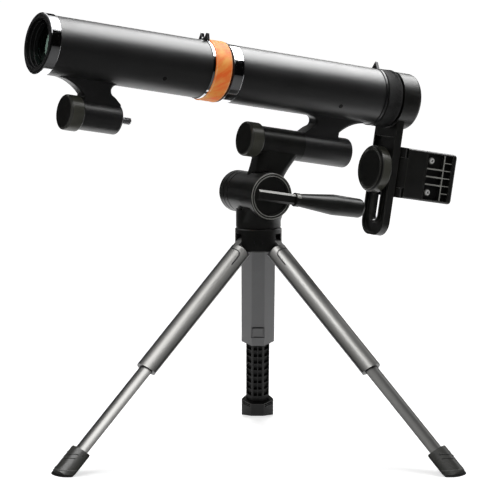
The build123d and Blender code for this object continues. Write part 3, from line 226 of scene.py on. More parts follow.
def powderCoat(name):
    # matt powder coat of the tubes: tiny orange peel, soft sheen, faint rubbed patches
    mat, shader, w = newMaterial(name, {"Specular IOR Level": 0.9, "Coat Roughness": 0.42, "Sheen Weight": 0.06,
                                        "Sheen Roughness": 0.3})
    where = place(w)
    peel = noise(w, where, coatLook["peel"], 2.0)
    cloud = noise(w, where, coatLook["cloud"], 3.0)
    drawn = place(w, layAlong(rear), coatLook["rubDrawn"])
    rubbed = noise(w, drawn, coatLook["rub"], 4.0, 0.65).step(*coatLook["rubFrom"])
    return feed(mat, shader, Base_Color=cloud.step(*midTones).tint(coatLook["dark"], coatLook["pale"]),
                Roughness=coatLook["rough"] + (cloud - 0.5) * coatLook["spread"] - rubbed * coatLook["rubRough"],
                Coat_Weight=coatLook["coat"] + rubbed * coatLook["rubCoat"],
                Normal=bump(w, peel, coatLook["relief"], coatLook["depth"]))


chromeLook = {"dark": (0.72, 0.73, 0.75), "pale": (0.83, 0.83, 0.84), "haze": 90.0, "wipe": 240.0,
              "wipeDrawn": (1, 1, 14), "wipeFrom": (0.55, 0.8), "rough": 0.05, "hazeRough": 0.05,
              "wipeRough": 0.05, "relief": 0.02, "depth": 0.00005}


def polishedChrome(name):
    # mirror finish with a slight haze and the traces of wiping round the ring
    mat, shader, w = newMaterial(name, {"Metallic": 1.0})
    where = place(w)
    haze = noise(w, where, chromeLook["haze"], 4.0, 0.6)
    drawn = place(w, layAlong(rear), chromeLook["wipeDrawn"])
    wipes = noise(w, drawn, chromeLook["wipe"], 3.0).step(*chromeLook["wipeFrom"])
    return feed(mat, shader, Base_Color=haze.step(*midTones).tint(chromeLook["dark"], chromeLook["pale"]),
                Roughness=chromeLook["rough"] + haze * chromeLook["hazeRough"] + wipes * chromeLook["wipeRough"],
                Normal=bump(w, wipes, chromeLook["relief"], chromeLook["depth"]))


wrapLook = {"lean": 0.8, "streak": 170.0, "streakDrawn": (1, 1, 0.22), "mottle": 60.0, "pore": 900.0,
            "streakShare": 0.75, "mottleShare": 0.25, "toneFrom": (0.38, 0.64), "rough": 0.44, "mottleRough": 0.2,
            "poreFrom": (0.0, 0.25), "streakRelief": 0.5, "relief": 0.22, "depth": 0.00015}


def wrappedLeather(name, deep, pale):
    # dyed wrap: mottled tone in slanting streaks, and pores; its paler edges, a painted highlight, are a piece of
    # their own
    mat, shader, w = newMaterial(name, {"Specular IOR Level": 0.6})
    where = place(w)
    drawn = place(w, layAlong(rear + lift * wrapLook["lean"]), wrapLook["streakDrawn"])
    streaks = noise(w, drawn, wrapLook["streak"], 4.0, 0.6)
    mottle = noise(w, where, wrapLook["mottle"], 5.0, 0.6)
    pores = w.node("TexVoronoi", {"feature": "DISTANCE_TO_EDGE"}, {"Vector": where, "Scale": wrapLook["pore"]})
    tone = (streaks * wrapLook["streakShare"] + mottle * wrapLook["mottleShare"]).step(*wrapLook["toneFrom"])
    height = pores.step(*wrapLook["poreFrom"]) + streaks * wrapLook["streakRelief"]
    return feed(mat, shader, Base_Color=tone.tint(deep, pale),
                Roughness=wrapLook["rough"] + mottle * wrapLook["mottleRough"],
                Normal=bump(w, height, wrapLook["relief"], wrapLook["depth"]))


legLook = {"line": 1500.0, "lineDrawn": (1, 1, 0.012), "broad": 160.0, "broadDrawn": (1, 1, 0.08), "rub": 45.0,
           "broadShare": 0.6, "rubShare": 0.4, "toneFrom": (0.32, 0.68), "lineRough": 0.04, "rubRough": 0.04,
           "relief": 0.008, "depth": 0.00002}


def brushedLeg(name, direction, dark, pale, rough):
    # anodised extrusion, drawn lines along the leg and a few rub marks
    mat, shader, w = newMaterial(name, {"Metallic": 1.0})
    lay = layAlong(direction)
    lines = noise(w, place(w, lay, legLook["lineDrawn"]), legLook["line"], 3.0, 0.6)
    broad = noise(w, place(w, lay, legLook["broadDrawn"]), legLook["broad"], 3.0)
    rub = noise(w, place(w), legLook["rub"], 5.0, 0.65)
    tone = broad * legLook["broadShare"] + rub * legLook["rubShare"]
    return feed(mat, shader, Base_Color=tone.step(*legLook["toneFrom"]).tint(dark, pale),
                Roughness=rough + (lines - 0.5) * legLook["lineRough"] + (rub - 0.5) * legLook["rubRough"],
                Normal=bump(w, lines, legLook["relief"], legLook["depth"]))


steelLook = {"dark": (0.42, 0.42, 0.43), "pale": (0.62, 0.62, 0.63), "cloud": 240.0, "grain": 1800.0,
             "rough": 0.24, "spread": 0.16, "relief": 0.08, "depth": 0.00005}


def platedSteel(name):
    # dull zinc plating with a cloudy tone
    mat, shader, w = newMaterial(name, {"Metallic": 1.0})
    where = place(w)
    cloud = noise(w, where, steelLook["cloud"], 4.0, 0.6)
    return feed(mat, shader, Base_Color=cloud.step(*midTones).tint(steelLook["dark"], steelLook["pale"]),
                Roughness=steelLook["rough"] + cloud * steelLook["spread"],
                Normal=bump(w, noise(w, where, steelLook["grain"]), steelLook["relief"], steelLook["depth"]))


rubberLook = {"dust": 120.0, "dustFrom": (0.35, 0.8), "dustGain": 2.2, "dustLift": 0.004, "grain": 1700.0,
              "rough": 0.62, "spread": 0.2, "relief": 0.3, "depth": 0.00012}


def softRubber(name, tone):
    # matt rubber with dust in its grain
    mat, shader, w = newMaterial(name, {"Specular IOR Level": 0.35})
    where = place(w)
    dust = noise(w, where, rubberLook["dust"], 5.0, 0.65)
    dusty = tuple(c * rubberLook["dustGain"] + rubberLook["dustLift"] for c in tone)
    grain = noise(w, where, rubberLook["grain"], 2.0)
    return feed(mat, shader, Base_Color=dust.step(*rubberLook["dustFrom"]).tint(tone, dusty),
                Roughness=rubberLook["rough"] + dust * rubberLook["spread"],
                Normal=bump(w, grain, rubberLook["relief"], rubberLook["depth"]))


glassLook = {"clear": (0.90, 0.985, 0.95), "dusty": (0.84, 0.95, 0.90), "dust": 300.0, "toneFrom": (0.3, 0.9),
             "dustFrom": (0.55, 0.95), "rough": 0.005, "dustRough": 0.03}


def coatedGlass(name):
    # clear glass with a green anti-reflection reflex, deepest from the front
    mat, shader, w = newMaterial(name, {"Transmission Weight": 1.0, "IOR": 1.5,
                                        "Specular Tint": (0.03, 1.0, 0.5, 1.0)})
    dust = noise(w, place(w), glassLook["dust"], 5.0, 0.7)
    tone = dust.step(*glassLook["toneFrom"]).tint(glassLook["clear"], glassLook["dusty"])
    return feed(mat, shader, Base_Color=tone,
                Roughness=glassLook["rough"] + dust.step(*glassLook["dustFrom"]) * glassLook["dustRough"])


legDirs = {i: (Vector(joints[f"leg_{i}_extend"]["axis"]) * -1).normalized() for i in (1, 2, 3)}
looks = {
    "tube_black": powderCoat("tubePowderCoat"),
    "chrome": polishedChrome("polishedChrome"),
    "cell_black": mouldedPlastic("blackenedRing", (0.0055, 0.0055, 0.006), (0.009, 0.009, 0.0095), 0.32),
    "lens_glass": coatedGlass("coatedGlass"),
    "band_orange": wrappedLeather("orangeWrap", (1.0, 0.15, 0.005), (1.0, 0.42, 0.07)),
    "body_plastic": mouldedPlastic("bodyMoulding", (0.0058, 0.0058, 0.0053), (0.0098, 0.0098, 0.0088)),
    "knob_plastic": mouldedPlastic("knobMoulding", (0.004, 0.004, 0.0035), (0.007, 0.0068, 0.006), 0.5, 1.0, 0.2),
    "grip_rubber": softRubber("focusGrip", (0.011, 0.011, 0.011)),
    "steel": platedSteel("platedSteel"),
    "washer_nylon": mouldedPlastic("washerNylon", (0.04, 0.04, 0.04), (0.06, 0.06, 0.06), 0.5),
    "button_plastic": mouldedPlastic("buttonMoulding", (0.05, 0.05, 0.051), (0.066, 0.066, 0.067), 0.42),
    "foot_dark": mouldedPlastic("footMoulding", (0.034, 0.034, 0.031), (0.050, 0.050, 0.046), 0.28),
    "soft_rubber": softRubber("blackRubber", (0.008, 0.008, 0.008)),
}
for i, direction in legDirs.items():
    looks[f"upper_leg_{i}"] = brushedLeg(f"gunmetalTube{i}", direction,
                                         (0.184, 0.182, 0.176), (0.224, 0.222, 0.214), 0.37)
    looks[f"lower_leg_{i}"] = brushedLeg(f"drawnTube{i}", direction,
                                         (0.200, 0.198, 0.192), (0.240, 0.238, 0.230), 0.34)
# knob sides: olive plastic, painted paler as painted light from the front
knobSide = mouldedPlastic("knobSide", (0.034, 0.034, 0.026), (0.056, 0.056, 0.044), 0.36)
# paler edge finish on rounded edges and rims: a painted highlight
edgeHighlightPlastic = mouldedPlastic("rubbedEdge", (0.030, 0.030, 0.026), (0.055, 0.055, 0.050), 0.24, 0.5)
# paler finish for the feet's edges and the lip above the sole: a painted highlight
rubbedFoot = mouldedPlastic("rubbedFoot", (0.07, 0.07, 0.066), (0.12, 0.12, 0.115), 0.28, 0.6)
# paler finish for rib tops, the bar's upper slope and the disc rims: a painted highlight
ribTop = mouldedPlastic("ribTop", (0.17, 0.17, 0.155), (0.29, 0.29, 0.27), 0.26, 0.5)
brightHead = mouldedPlastic("brightHead", (0.50, 0.50, 0.49), (0.72, 0.72, 0.71), 0.22, 0.3)
# dark brown bead in the gap behind the wrap: painted shade
grooveBrown = mouldedPlastic("grooveBrown", (0.010, 0.004, 0.0025), (0.020, 0.008, 0.005), 0.5, 1.0, 0.2)
# paler wrap for the wrap's rolled edges: a painted highlight
wrapEdgeHighlight = wrappedLeather("paleWrapEdge", (0.86, 0.30, 0.09), (1.0, 0.62, 0.32))
glossBlack = mouldedPlastic("polishedEdge", (0.02, 0.02, 0.02), (0.035, 0.035, 0.035), 0.14, 0.2)
# near-black for the screw crosses and the feet's chevrons: painted shade of recesses and grooves
grooveShadeBlack = mouldedPlastic("legCore", (0.012, 0.012, 0.012), (0.018, 0.018, 0.018), 0.4)
# near-black moulding of the leg cores; on the backplate's rib floors and the feet's inner faces it is painted shade
latticeBlackAndShade = mouldedPlastic("legLattice", (0.004, 0.004, 0.0038), (0.007, 0.007, 0.0066), 0.5, 0.5, 0.15)
facetGrey = mouldedPlastic("legFacet", (0.060, 0.060, 0.062), (0.078, 0.078, 0.080), 0.42)
print("materials made:", len(bpy.data.materials))


def camel(name):
    first, *rest = name.split("_")
    return first + "".join(r.capitalize() for r in rest)


def link(obj):
    bpy.context.collection.objects.link(obj)
    return obj


def settle(obj, body, mats):
    # gives a finished piece its materials and its body
    held = obj.data.materials
    for k, mat in enumerate(mats):
        if k < len(held):
            held[k] = mat
        else:
            held.append(mat)
    while len(held) > len(mats):
        held.pop()
    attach(obj, body)


def flatten(obj):
    # turns live modifiers into plain mesh
    graph = bpy.context.evaluated_depsgraph_get()
    mesh = bpy.data.meshes.new_from_object(obj.evaluated_get(graph), depsgraph=graph)
    obj.modifiers.clear()
    old = obj.data
    obj.data = mesh
    mesh.name = obj.name
    bpy.data.meshes.remove(old)


# rounded edges: mm and degrees, and the most finishes that one piece has
edgeFinish = {"width": 0.28, "segments": 2, "sharp": 32.0, "weld": 1e-6, "flat": 0.4, "zones": 4}


def softEdged(nodeName, width=edgeFinish["width"], zones=None, shape=None, edge=-1):
    # the CAD solid again with joined facets, rounded edges and smooth shading
    node = nodes[nodeName]
    mesh = node.data.copy()
    bm = bmesh.new()
    bm.from_mesh(mesh)
    bmesh.ops.remove_doubles(bm, verts=bm.verts, dist=edgeFinish["weld"])
    bmesh.ops.dissolve_limit(bm, angle_limit=radians(edgeFinish["flat"]), verts=bm.verts, edges=bm.edges)
    if shape:
        shape(bm)
        bm.normal_update()
    for f in bm.faces:
        f.smooth = True
        f.material_index = zones(f) if zones else 0
    bm.to_mesh(mesh)
    bm.free()
    if "custom_normal" in mesh.attributes:
        mesh.attributes.remove(mesh.attributes["custom_normal"])
    while len(mesh.materials) < edgeFinish["zones"]:
        mesh.materials.append(None)
    obj = link(bpy.data.objects.new(camel(nodeName), mesh))
    bev = obj.modifiers.new("edges", "BEVEL")
    bev.width = width * mm
    bev.segments = edgeFinish["segments"]
    bev.limit_method = "ANGLE"
    bev.angle_limit = radians(edgeFinish["sharp"])
    bev.harden_normals = True
    bev.material = edge
    flatten(obj)
    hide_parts(nodeName)
    return obj


# legs: bright drawn skin outside, grey or black moulding on the inner faces
legSection = {"pivotToCentre": 12.0, "upperRadius": 18.5, "lowerRadius": 15.2, "skin": 0.35}


def legFrame(i):
    fold = joints[f"leg_{i}_fold"]
    down = legDirs[i]
    across = Vector(joints[f"leg_{i}_release"]["axis"])
    return Vector(fold["pos_m"]) - across * legSection["pivotToCentre"] * mm, across, down


def skinZone(i, radius):
    centre, across, down = legFrame(i)
    tangent = down.cross(across)

    def zone(face):
        reach = [v.co - centre for v in face.verts]
        spread = min(sqrt(r.dot(across) ** 2 + r.dot(tangent) ** 2) for r in reach)
        return 0 if spread > (radius - legSection["skin"]) * mm else 1
    return zone


# the feet start lower on the legs than those of the solids, and the lower tubes reach down to them
footTrim = {"top": 235.03, "end": 255.0, "drop": 8.0, "slack": 0.2}


def trimFoot(i):
    centre, _, down = legFrame(i)
    pull = footTrim["drop"] / (footTrim["end"] - footTrim["top"])

    def shape(bm):
        for v in bm.verts:
            level = (v.co - centre).dot(down) / mm
            if level < footTrim["end"]:
                v.co += down * (footTrim["end"] - level) * pull * mm
    return shape


def reachFoot(i):
    centre, _, down = legFrame(i)

    def shape(bm):
        for v in bm.verts:
            if (v.co - centre).dot(down) / mm > footTrim["top"] - footTrim["slack"]:
                v.co += down * footTrim["drop"] * mm
    return shape


# the sight's ring and the flanks of its notch are bright, the fork on it is black
forkShape = {"ringRadius": 26.7, "back": 157.6, "moved": 159.0, "notchReach": 2.7, "notchGain": 1.62,
             "flank": 4.6}


def forkZone(face):
    spots = [toScope @ v.co for v in face.verts]
    inNotch = all(abs(p.x) < forkShape["flank"] * mm and p.y > forkShape["ringRadius"] * mm for p in spots)
    return 0 if inNotch or max(p.xy.length for p in spots) < forkShape["ringRadius"] * mm else 1


def openFork(bm):
    # a thinner fork with a wider notch than the solid has, as the photograph shows it
    for v in bm.verts:
        p = toScope @ v.co
        if p.z < forkShape["back"] * mm:
            p.z = forkShape["moved"] * mm
        if abs(p.x) < forkShape["notchReach"] * mm and p.y > forkShape["ringRadius"] * mm:
            p.x *= forkShape["notchGain"]
        v.co = scopeFrame @ p


# how far a face turns toward a direction, as a cosine, to get its own finish; rib tops lie within ribDepth mm
faceLimits = {"knobEnd": 0.55, "ribs": 0.5, "inner": -0.2, "bar": 0.3}
ribDepth = 1.9
ribLevel = max(v.co.dot(near) for v in nodes["jaw_backplate"].data.vertices) - ribDepth * mm


# knob sides take the paler olive finish, part olive plastic and part painted light; end faces keep the dark moulding
def knobZone(face):
    return 0 if abs(face.normal.dot(rear)) < faceLimits["knobEnd"] else 1


def ribZone(face):
    # tops of the backplate's ribs and bosses, which stand nearest, paler as a painted highlight, and the floors
    # between them darker as painted shade
    if face.normal.dot(near) < faceLimits["ribs"]:
        return 0
    return 2 if min(v.co.dot(near) for v in face.verts) > ribLevel else 3


def innerZone(i):
    # side of a foot that looks at the tripod's axis, painted near-black as painted shade of its recessed pockets
    outward = Vector((legDirs[i].x, legDirs[i].y, 0)).normalized()
    return lambda face: 2 if face.normal.dot(outward) < faceLimits["inner"] else 0


def barHighlightZone(face):
    # upper slope of the bar on the tilt disc, paler as a painted highlight
    return 2 if min(face.normal.dot(near), face.normal.dot(lift)) > faceLimits["bar"] else 0


# edges painted paler as a painted highlight: node and edge width; then the widths of other edges
paintedEdgeHighlights = {"adapter_arm": 0.7, "clip_body": 0.8, "jaw": 0.8, "jaw_backplate": 0.55, "carriage": 0.4,
               "tilt_disc": 0.6, "pan_yoke": 0.6, "pan_handle": 0.5, "drum_cap": 0.5, "hub": 0.5, "saddle": 0.6}
plainEdges = {"upperLeg": 0.4, "lowerLeg": 0.2, "foot": 0.6, "sight": 0.15, "knob": 0.9}


def dressNodes():
    for name in nodes:
        slot = slotOf[name]
        leg = int(name[-1]) if name[-1].isdigit() else None
        if name.startswith("upper_leg"):
            obj = softEdged(name, plainEdges["upperLeg"], skinZone(leg, legSection["upperRadius"]))
            mats = [looks[name], facetGrey]
        elif name.startswith("lower_leg"):
            obj = softEdged(name, plainEdges["lowerLeg"], skinZone(leg, legSection["lowerRadius"]), reachFoot(leg))
            mats = [looks[name], latticeBlackAndShade]
        elif name.startswith("foot"):
            obj = softEdged(name, plainEdges["foot"], innerZone(leg), trimFoot(leg), 1)
            mats = [looks[slot], rubbedFoot, latticeBlackAndShade]
        elif name == "notch_sight":
            obj = softEdged(name, plainEdges["sight"], forkZone, openFork)
            mats = [looks["chrome"], looks["cell_black"]]
        elif name.endswith("_knob"):
            obj = softEdged(name, plainEdges["knob"], knobZone, edge=2)
            mats = [knobSide, looks[slot], edgeHighlightPlastic]
        elif name == "jaw_backplate":
            obj = softEdged(name, paintedEdgeHighlights[name], ribZone, edge=1)
            mats = [looks[slot], edgeHighlightPlastic, ribTop, latticeBlackAndShade]
        elif name == "tilt_disc":
            obj = softEdged(name, paintedEdgeHighlights[name], barHighlightZone, edge=1)
            mats = [looks[slot], edgeHighlightPlastic, ribTop]
        elif name in paintedEdgeHighlights:
            obj = softEdged(name, paintedEdgeHighlights[name], edge=1)
            mats = [looks[slot], edgeHighlightPlastic]
        else:
            obj = softEdged(name)
            mats = [brightHead if name == "jaw_screws" else looks[slot]]
        settle(obj, bodyOf[name], mats)


dressNodes()
print("nodes dressed:", len(nodes))


# Geometry Nodes: a bead swept along drawn strokes, and a ring of ribs that repeats round an axis
def growTree(name, fields):
    tree = bpy.data.node_groups.new(name, "GeometryNodeTree")
    tree.interface.new_socket("Geometry", in_out="INPUT", socket_type="NodeSocketGeometry")
    for label, kind in fields.items():
        tree.interface.new_socket(label, in_out="INPUT", socket_type="NodeSocket" + kind)
    tree.interface.new_socket("Geometry", in_out="OUTPUT", socket_type="NodeSocketGeometry")
    source = tree.nodes.new("NodeGroupInput")
    return tree, source.outputs


def addNode(tree, kind, settings=None, sockets=None):
    n = tree.nodes.new(kind)
    for key, value in (settings or {}).items():
        setattr(n, key, value)
    for key, value in (sockets or {}).items():
        if isinstance(value, bpy.types.NodeSocket):
            tree.links.new(value, n.inputs[key])
        else:
            n.inputs[key].default_value = value
    return n.outputs[0]


def endTree(tree, geometry, material):
    smooth = addNode(tree, "GeometryNodeSetShadeSmooth", None, {0: geometry})
    real = addNode(tree, "GeometryNodeRealizeInstances", None, {0: smooth})
    painted = addNode(tree, "GeometryNodeSetMaterial", None, {0: real, "Material": material})
    tree.links.new(painted, tree.nodes.new("NodeGroupOutput").inputs[0])
    return tree


def beadTree():
    tree, given = growTree("beadAlongStrokes", {"Bead radius": "Float", "Sides": "Int", "Finish": "Material"})
    curve = addNode(tree, "GeometryNodeMeshToCurve", None, {0: given["Geometry"]})
    rim = addNode(tree, "GeometryNodeCurvePrimitiveCircle", None,
                  {"Resolution": given["Sides"], "Radius": given["Bead radius"]})
    swept = addNode(tree, "GeometryNodeCurveToMesh", None, {0: curve, 1: rim, "Fill Caps": True})
    return endTree(tree, swept, given["Finish"])


def ribTree():
    tree, given = growTree("ribsRoundAxis", {"Count": "Int", "Radius": "Float", "Length": "Float", "Slant": "Vector",
                                             "Bead radius": "Float", "Sides": "Int", "Centre": "Vector",
                                             "Finish": "Material"})
    spine = addNode(tree, "GeometryNodeCurvePrimitiveLine", {"mode": "DIRECTION"},
                    {"Direction": (0, 0, 1), "Length": given["Length"]})
    rim = addNode(tree, "GeometryNodeCurvePrimitiveCircle", None,
                  {"Resolution": given["Sides"], "Radius": given["Bead radius"]})
    rib = addNode(tree, "GeometryNodeCurveToMesh", None, {0: spine, 1: rim, "Fill Caps": True})
    leaning = addNode(tree, "GeometryNodeTransform", None, {0: rib, "Rotation": given["Slant"]})
    circle = addNode(tree, "GeometryNodeMeshCircle", None, {"Vertices": given["Count"], "Radius": given["Radius"]})
    spot = addNode(tree, "GeometryNodeInputPosition")
    turn = addNode(tree, "FunctionNodeAlignRotationToVector", {"axis": "X", "pivot_axis": "Z"}, {"Vector": spot})
    many = addNode(tree, "GeometryNodeInstanceOnPoints", None, {0: circle, "Instance": leaning, "Rotation": turn})
    moved = addNode(tree, "GeometryNodeTransform", None, {0: many, "Translation": given["Centre"]})
    return endTree(tree, moved, given["Finish"])


def grown(name, tree, values, mesh, frameMatrix=None):
    # runs a tree once on a mesh and keeps the plain result
    obj = link(bpy.data.objects.new(name, mesh))
    mod = obj.modifiers.new("grow", "NODES")
    mod.node_group = tree
    marks = {s.name: s.identifier for s in tree.interface.items_tree if s.in_out == "INPUT"}
    for key, value in values.items():
        mod[marks[key]] = value
    flatten(obj)
    if frameMatrix:
        obj.data.transform(frameMatrix)
    return obj


samePoint = 1e-9


def strokes(name, lines):
    # a mesh of open or closed poly-lines, each a list of points; a closed one repeats its first point
    mesh = bpy.data.meshes.new(name)
    points, edges = [], []
    for line in lines:
        closed = (line[0] - line[-1]).length < samePoint
        first = len(points)
        own = line[:-1] if closed else line
        points += own
        edges += [(first + k, first + k + 1) for k in range(len(own) - 1)]
        if closed:
            edges.append((first + len(own) - 1, first))
    mesh.from_pydata(points, edges, [])
    return mesh


def hoop(frameMatrix, z, radius, steps=96, wave=0.0, waves=7):
    # a closed ring round the frame's axis, slightly wavy where a wave is given
    ring = []
    for k in range(steps + 1):
        a = 2 * pi * (k % steps) / steps
        r = radius + wave * sin(waves * a)
        ring.append(frameMatrix @ (Vector((r * cos(a), r * sin(a), z)) * mm))
    return ring


beads = beadTree()
ribs = ribTree()


def beadPiece(name, lines, bead, finish, body, sides=8):
    # a piece that is a bead along strokes
    obj = grown(name, beads, {"Bead radius": bead * mm, "Sides": sides, "Finish": finish}, strokes(name, lines))
    settle(obj, body, [finish])


# knurled grip of the focusing ring: slanting ribs
knurl = {"count": 120, "radius": 26.02, "start": 346.0, "length": 11.6, "slant": 24.0, "bead": 0.24, "sides": 6}


def makeKnurl():
    lean = radians(knurl["slant"])
    finish = looks["grip_rubber"]
    values = {"Count": knurl["count"], "Radius": knurl["radius"] * mm, "Length": knurl["length"] / cos(lean) * mm,
              "Slant": (lean, 0, 0), "Bead radius": knurl["bead"] * mm, "Sides": knurl["sides"],
              "Centre": (0, 0, knurl["start"] * mm), "Finish": finish}
    obj = grown("focusKnurl", ribs, values, bpy.data.meshes.new("knurlSeed"), scopeFrame)
    settle(obj, "focus", [finish])


makeKnurl()

# rolled edges of the orange wrap, paler as a painted highlight, with its dark groove, a painted shade, and fine
# bright lines on the ring edges
wrapEdge = {"front": 162.7, "back": 177.4, "radius": 27.0, "bead": 0.42, "wave": 0.05, "steps": 120,
            "groove": 179.6, "grooveRadius": 25.9, "grooveBead": 1.05, "grooveSides": 10}
brightLines = {   # place along the tube, radius, bead, body, slot
    "capFrontLine": (361.95, 25.55, 0.26, "adapter", "body_plastic"),
    "lensRingLine": (3.5, 20.75, 0.30, "scope", "cell_black"),
    "lensRingInnerLine": (7.1, 19.85, 0.28, "scope", "cell_black"),
}


def makeRings():
    steps = wrapEdge["steps"]
    edges = [hoop(scopeFrame, wrapEdge[k], wrapEdge["radius"], steps, wrapEdge["wave"]) for k in ("front", "back")]
    beadPiece("wrapEdges", edges, wrapEdge["bead"], wrapEdgeHighlight, "scope")
    # the gap between wrap and collar is filled by a dark brown bead: painted shade
    groove = hoop(scopeFrame, wrapEdge["groove"], wrapEdge["grooveRadius"], steps)
    beadPiece("wrapGroove", [groove], wrapEdge["grooveBead"], grooveBrown, "scope",
              wrapEdge["grooveSides"])
    for name, (z, radius, bead, body, slot) in brightLines.items():
        beadPiece(name, [hoop(scopeFrame, z, radius)], bead, glossBlack, body)


makeRings()

# feet: two chevron grooves drawn as black beads, a painted shade, on the outer face, and a raised lip above the
# sole, paler as a painted highlight
footShadeAndHighlight = {"rows": (248.5, 253.0), "spread": 34.0, "point": 4.6, "bead": 0.55, "lipHeight": 5.2,
             "lipSpread": 118.0, "lipBead": 0.5, "reach": 60.0, "sink": 0.25, "half": 12, "lipHalf": 24}


def onSurface(obj, start, inward):
    # where a ray meets a piece, sunk in a little
    hit, spot, _, _ = obj.ray_cast(start, inward.normalized())
    return spot + inward.normalized() * footShadeAndHighlight["sink"] * mm if hit else None


def makeFootShadeAndHighlight(i):
    foot = bpy.data.objects[camel(f"foot_{i}")]
    centre, across, down = legFrame(i)
    tangent = down.cross(across)
    half, lipHalf = footShadeAndHighlight["half"], footShadeAndHighlight["lipHalf"]
    lines = []
    for row in footShadeAndHighlight["rows"]:
        line = []
        for k in range(-half, half + 1):
            turn = radians(footShadeAndHighlight["spread"] * k / half)
            out = across * cos(turn) + tangent * sin(turn)
            level = row + footShadeAndHighlight["point"] * (1 - abs(k) / half)
            line.append(onSurface(foot, centre + down * level * mm + out * footShadeAndHighlight["reach"] * mm, -out))
        lines.append([p for p in line if p])
    outward = Vector((down.x, down.y, 0)).normalized()
    sideways = Vector((-outward.y, outward.x, 0))
    level = footShadeAndHighlight["lipHeight"] * mm
    middle = centre + down * ((level - centre.z) / down.z)
    lip = []
    for k in range(-lipHalf, lipHalf + 1):
        turn = radians(footShadeAndHighlight["lipSpread"] * k / lipHalf)
        out = outward * cos(turn) + sideways * sin(turn)
        lip.append(onSurface(foot, middle + out * footShadeAndHighlight["reach"] * mm, -out))
    body = f"extension_{i}"
    # black chevrons are painted shade of the grooves; the paler lip is a painted highlight
    beadPiece(f"footChevrons{i}", lines, footShadeAndHighlight["bead"], grooveShadeBlack, body)
    beadPiece(f"footLip{i}", [[p for p in lip if p]], footShadeAndHighlight["lipBead"], rubbedFoot, body)


for i in legDirs:
    makeFootShadeAndHighlight(i)


def asMesh(bm, name):
    mesh = bpy.data.meshes.new(name)
    bm.to_mesh(mesh)
    bm.free()
    return mesh


def pieceOf(bm, name):
    return link(bpy.data.objects.new(name, asMesh(bm, name)))


def joined(name, meshes):
    # one piece out of several meshes
    bm = bmesh.new()
    for mesh in meshes:
        bm.from_mesh(mesh)
        bpy.data.meshes.remove(mesh)
    return pieceOf(bm, name)


def outline(points, depth, frameMatrix, name, edge):
    # a flat outline given thickness and rounded rims
    bm = bmesh.new()
    face = bm.faces.new([bm.verts.new((x * mm, y * mm, 0)) for x, y in points])
    raised = bmesh.ops.extrude_face_region(bm, geom=[face])["geom"]
    bmesh.ops.translate(bm, verts=[v for v in raised if isinstance(v, bmesh.types.BMVert)], vec=(0, 0, depth * mm))
    bmesh.ops.bevel(bm, geom=bm.edges[:], offset=edge * mm, segments=edgeFinish["segments"], affect="EDGES",
                    clamp_overlap=True)
    bmesh.ops.recalc_face_normals(bm, faces=bm.faces[:])
    bm.transform(frameMatrix)
    return asMesh(bm, name)


# cross recesses in the jaw's two screws, drawn as thin black crosses on the heads: painted shade of the recesses
recess = {"along": 405.6, "across": 14.7, "face": 18.84, "arm": 1.5, "half": 0.34, "depth": 0.1, "edge": 0.05,
          "turn": 35.0}


def makeScrewRecessShade():
    h, r = recess["half"], recess["arm"]
    cross = [(h, h), (h, r), (-h, r), (-h, h), (-r, h), (-r, -h),
             (-h, -h), (-h, -r), (h, -r), (h, -h), (r, -h), (r, h)]
    marks = []
    for side in (-1, 1):
        spot = clampFrame @ (Vector((0, side * recess["across"], recess["along"])) * mm) + near * recess["face"] * mm
        turned = along(spot, near, lift) @ Matrix.Rotation(radians(recess["turn"] * side), 4, "Z")
        marks.append(outline(cross, recess["depth"], turned, "cross", recess["edge"]))
    settle(joined("screwMarks", marks), "moving_jaw", [grooveShadeBlack])


# raised rim of the arm's slot, painted paler as a painted highlight
slotRim = {"top": 48.4, "bottom": 112.4, "half": 6.55, "width": 1.8, "front": 362.45, "back": 365.4, "edge": 0.45,
           "steps": 64}


def makeSlotRimHighlight():
    # a section swept round the slot: reach from the slot's middle line, place along the arm's thickness
    front, back, half, width, edge = (slotRim[k] for k in ("front", "back", "half", "width", "edge"))
    section = [(half, back), (half, front + edge), (half + edge, front), (half + width - edge, front),
               (half + width, front + edge), (half + width, back)]
    bevels = (1, 3)   # sides of the section that are shaded smooth
    top, low = (stretch["clampDrop"] - slotRim[k] for k in ("top", "bottom"))
    bm = bmesh.new()
    loops = []
    for k in range(slotRim["steps"]):
        turn = 2 * pi * (k + 0.5) / slotRim["steps"]
        middle = (top - half) if sin(turn) > 0 else (low + half)
        loops.append([bm.verts.new(clampFrame @ (Vector((r * cos(turn), middle + r * sin(turn), z)) * mm))
                      for r, z in section])
    for a, b in zip(loops, loops[1:] + loops[:1]):
        for k in range(len(section)):
            bm.faces.new((a[k], b[k], b[(k + 1) % len(section)], a[(k + 1) % len(section)])).smooth = k in bevels
    bmesh.ops.recalc_face_normals(bm, faces=bm.faces[:])
    settle(pieceOf(bm, "slotRim"), "adapter", [edgeHighlightPlastic])


# bright edges of the barrel's end, round the tilt disc: pale beads, a painted highlight
discRims = {"outer": 20.2, "inner": 18.1, "bead": 0.45, "sunk": 0.15, "slack": 0.05}


def makeDiscRimHighlights():
    disc = [v.co for v in nodes["tilt_disc"].data.vertices]
    low = min(p.dot(near) for p in disc)
    back = [p for p in disc if p.dot(near) < low + discRims["slack"] * mm]
    middle = Vector([(min(p[k] for p in back) + max(p[k] for p in back)) / 2 for k in range(3)])
    end = max(v.co.dot(near) for v in nodes["pan_yoke"].data.vertices)
    barrel = along(middle + near * (end - low), near, lift)
    lines = [hoop(barrel, -discRims["sunk"], discRims[k]) for k in ("outer", "inner")]
    beadPiece("discRims", lines, discRims["bead"], ribTop, bodyOf["pan_yoke"])


# threaded end of the front stud, longer than the solid's, with its thread as one helix
studEnd = {"start": 92.0, "length": 7.4, "radius": 2.75, "pitch": 1.27, "bead": 0.42, "tip": 0.6,
           "core": 0.4, "sunk": 2.0, "sides": 32, "turnSteps": 20, "runOut": 8, "threadSides": 6}


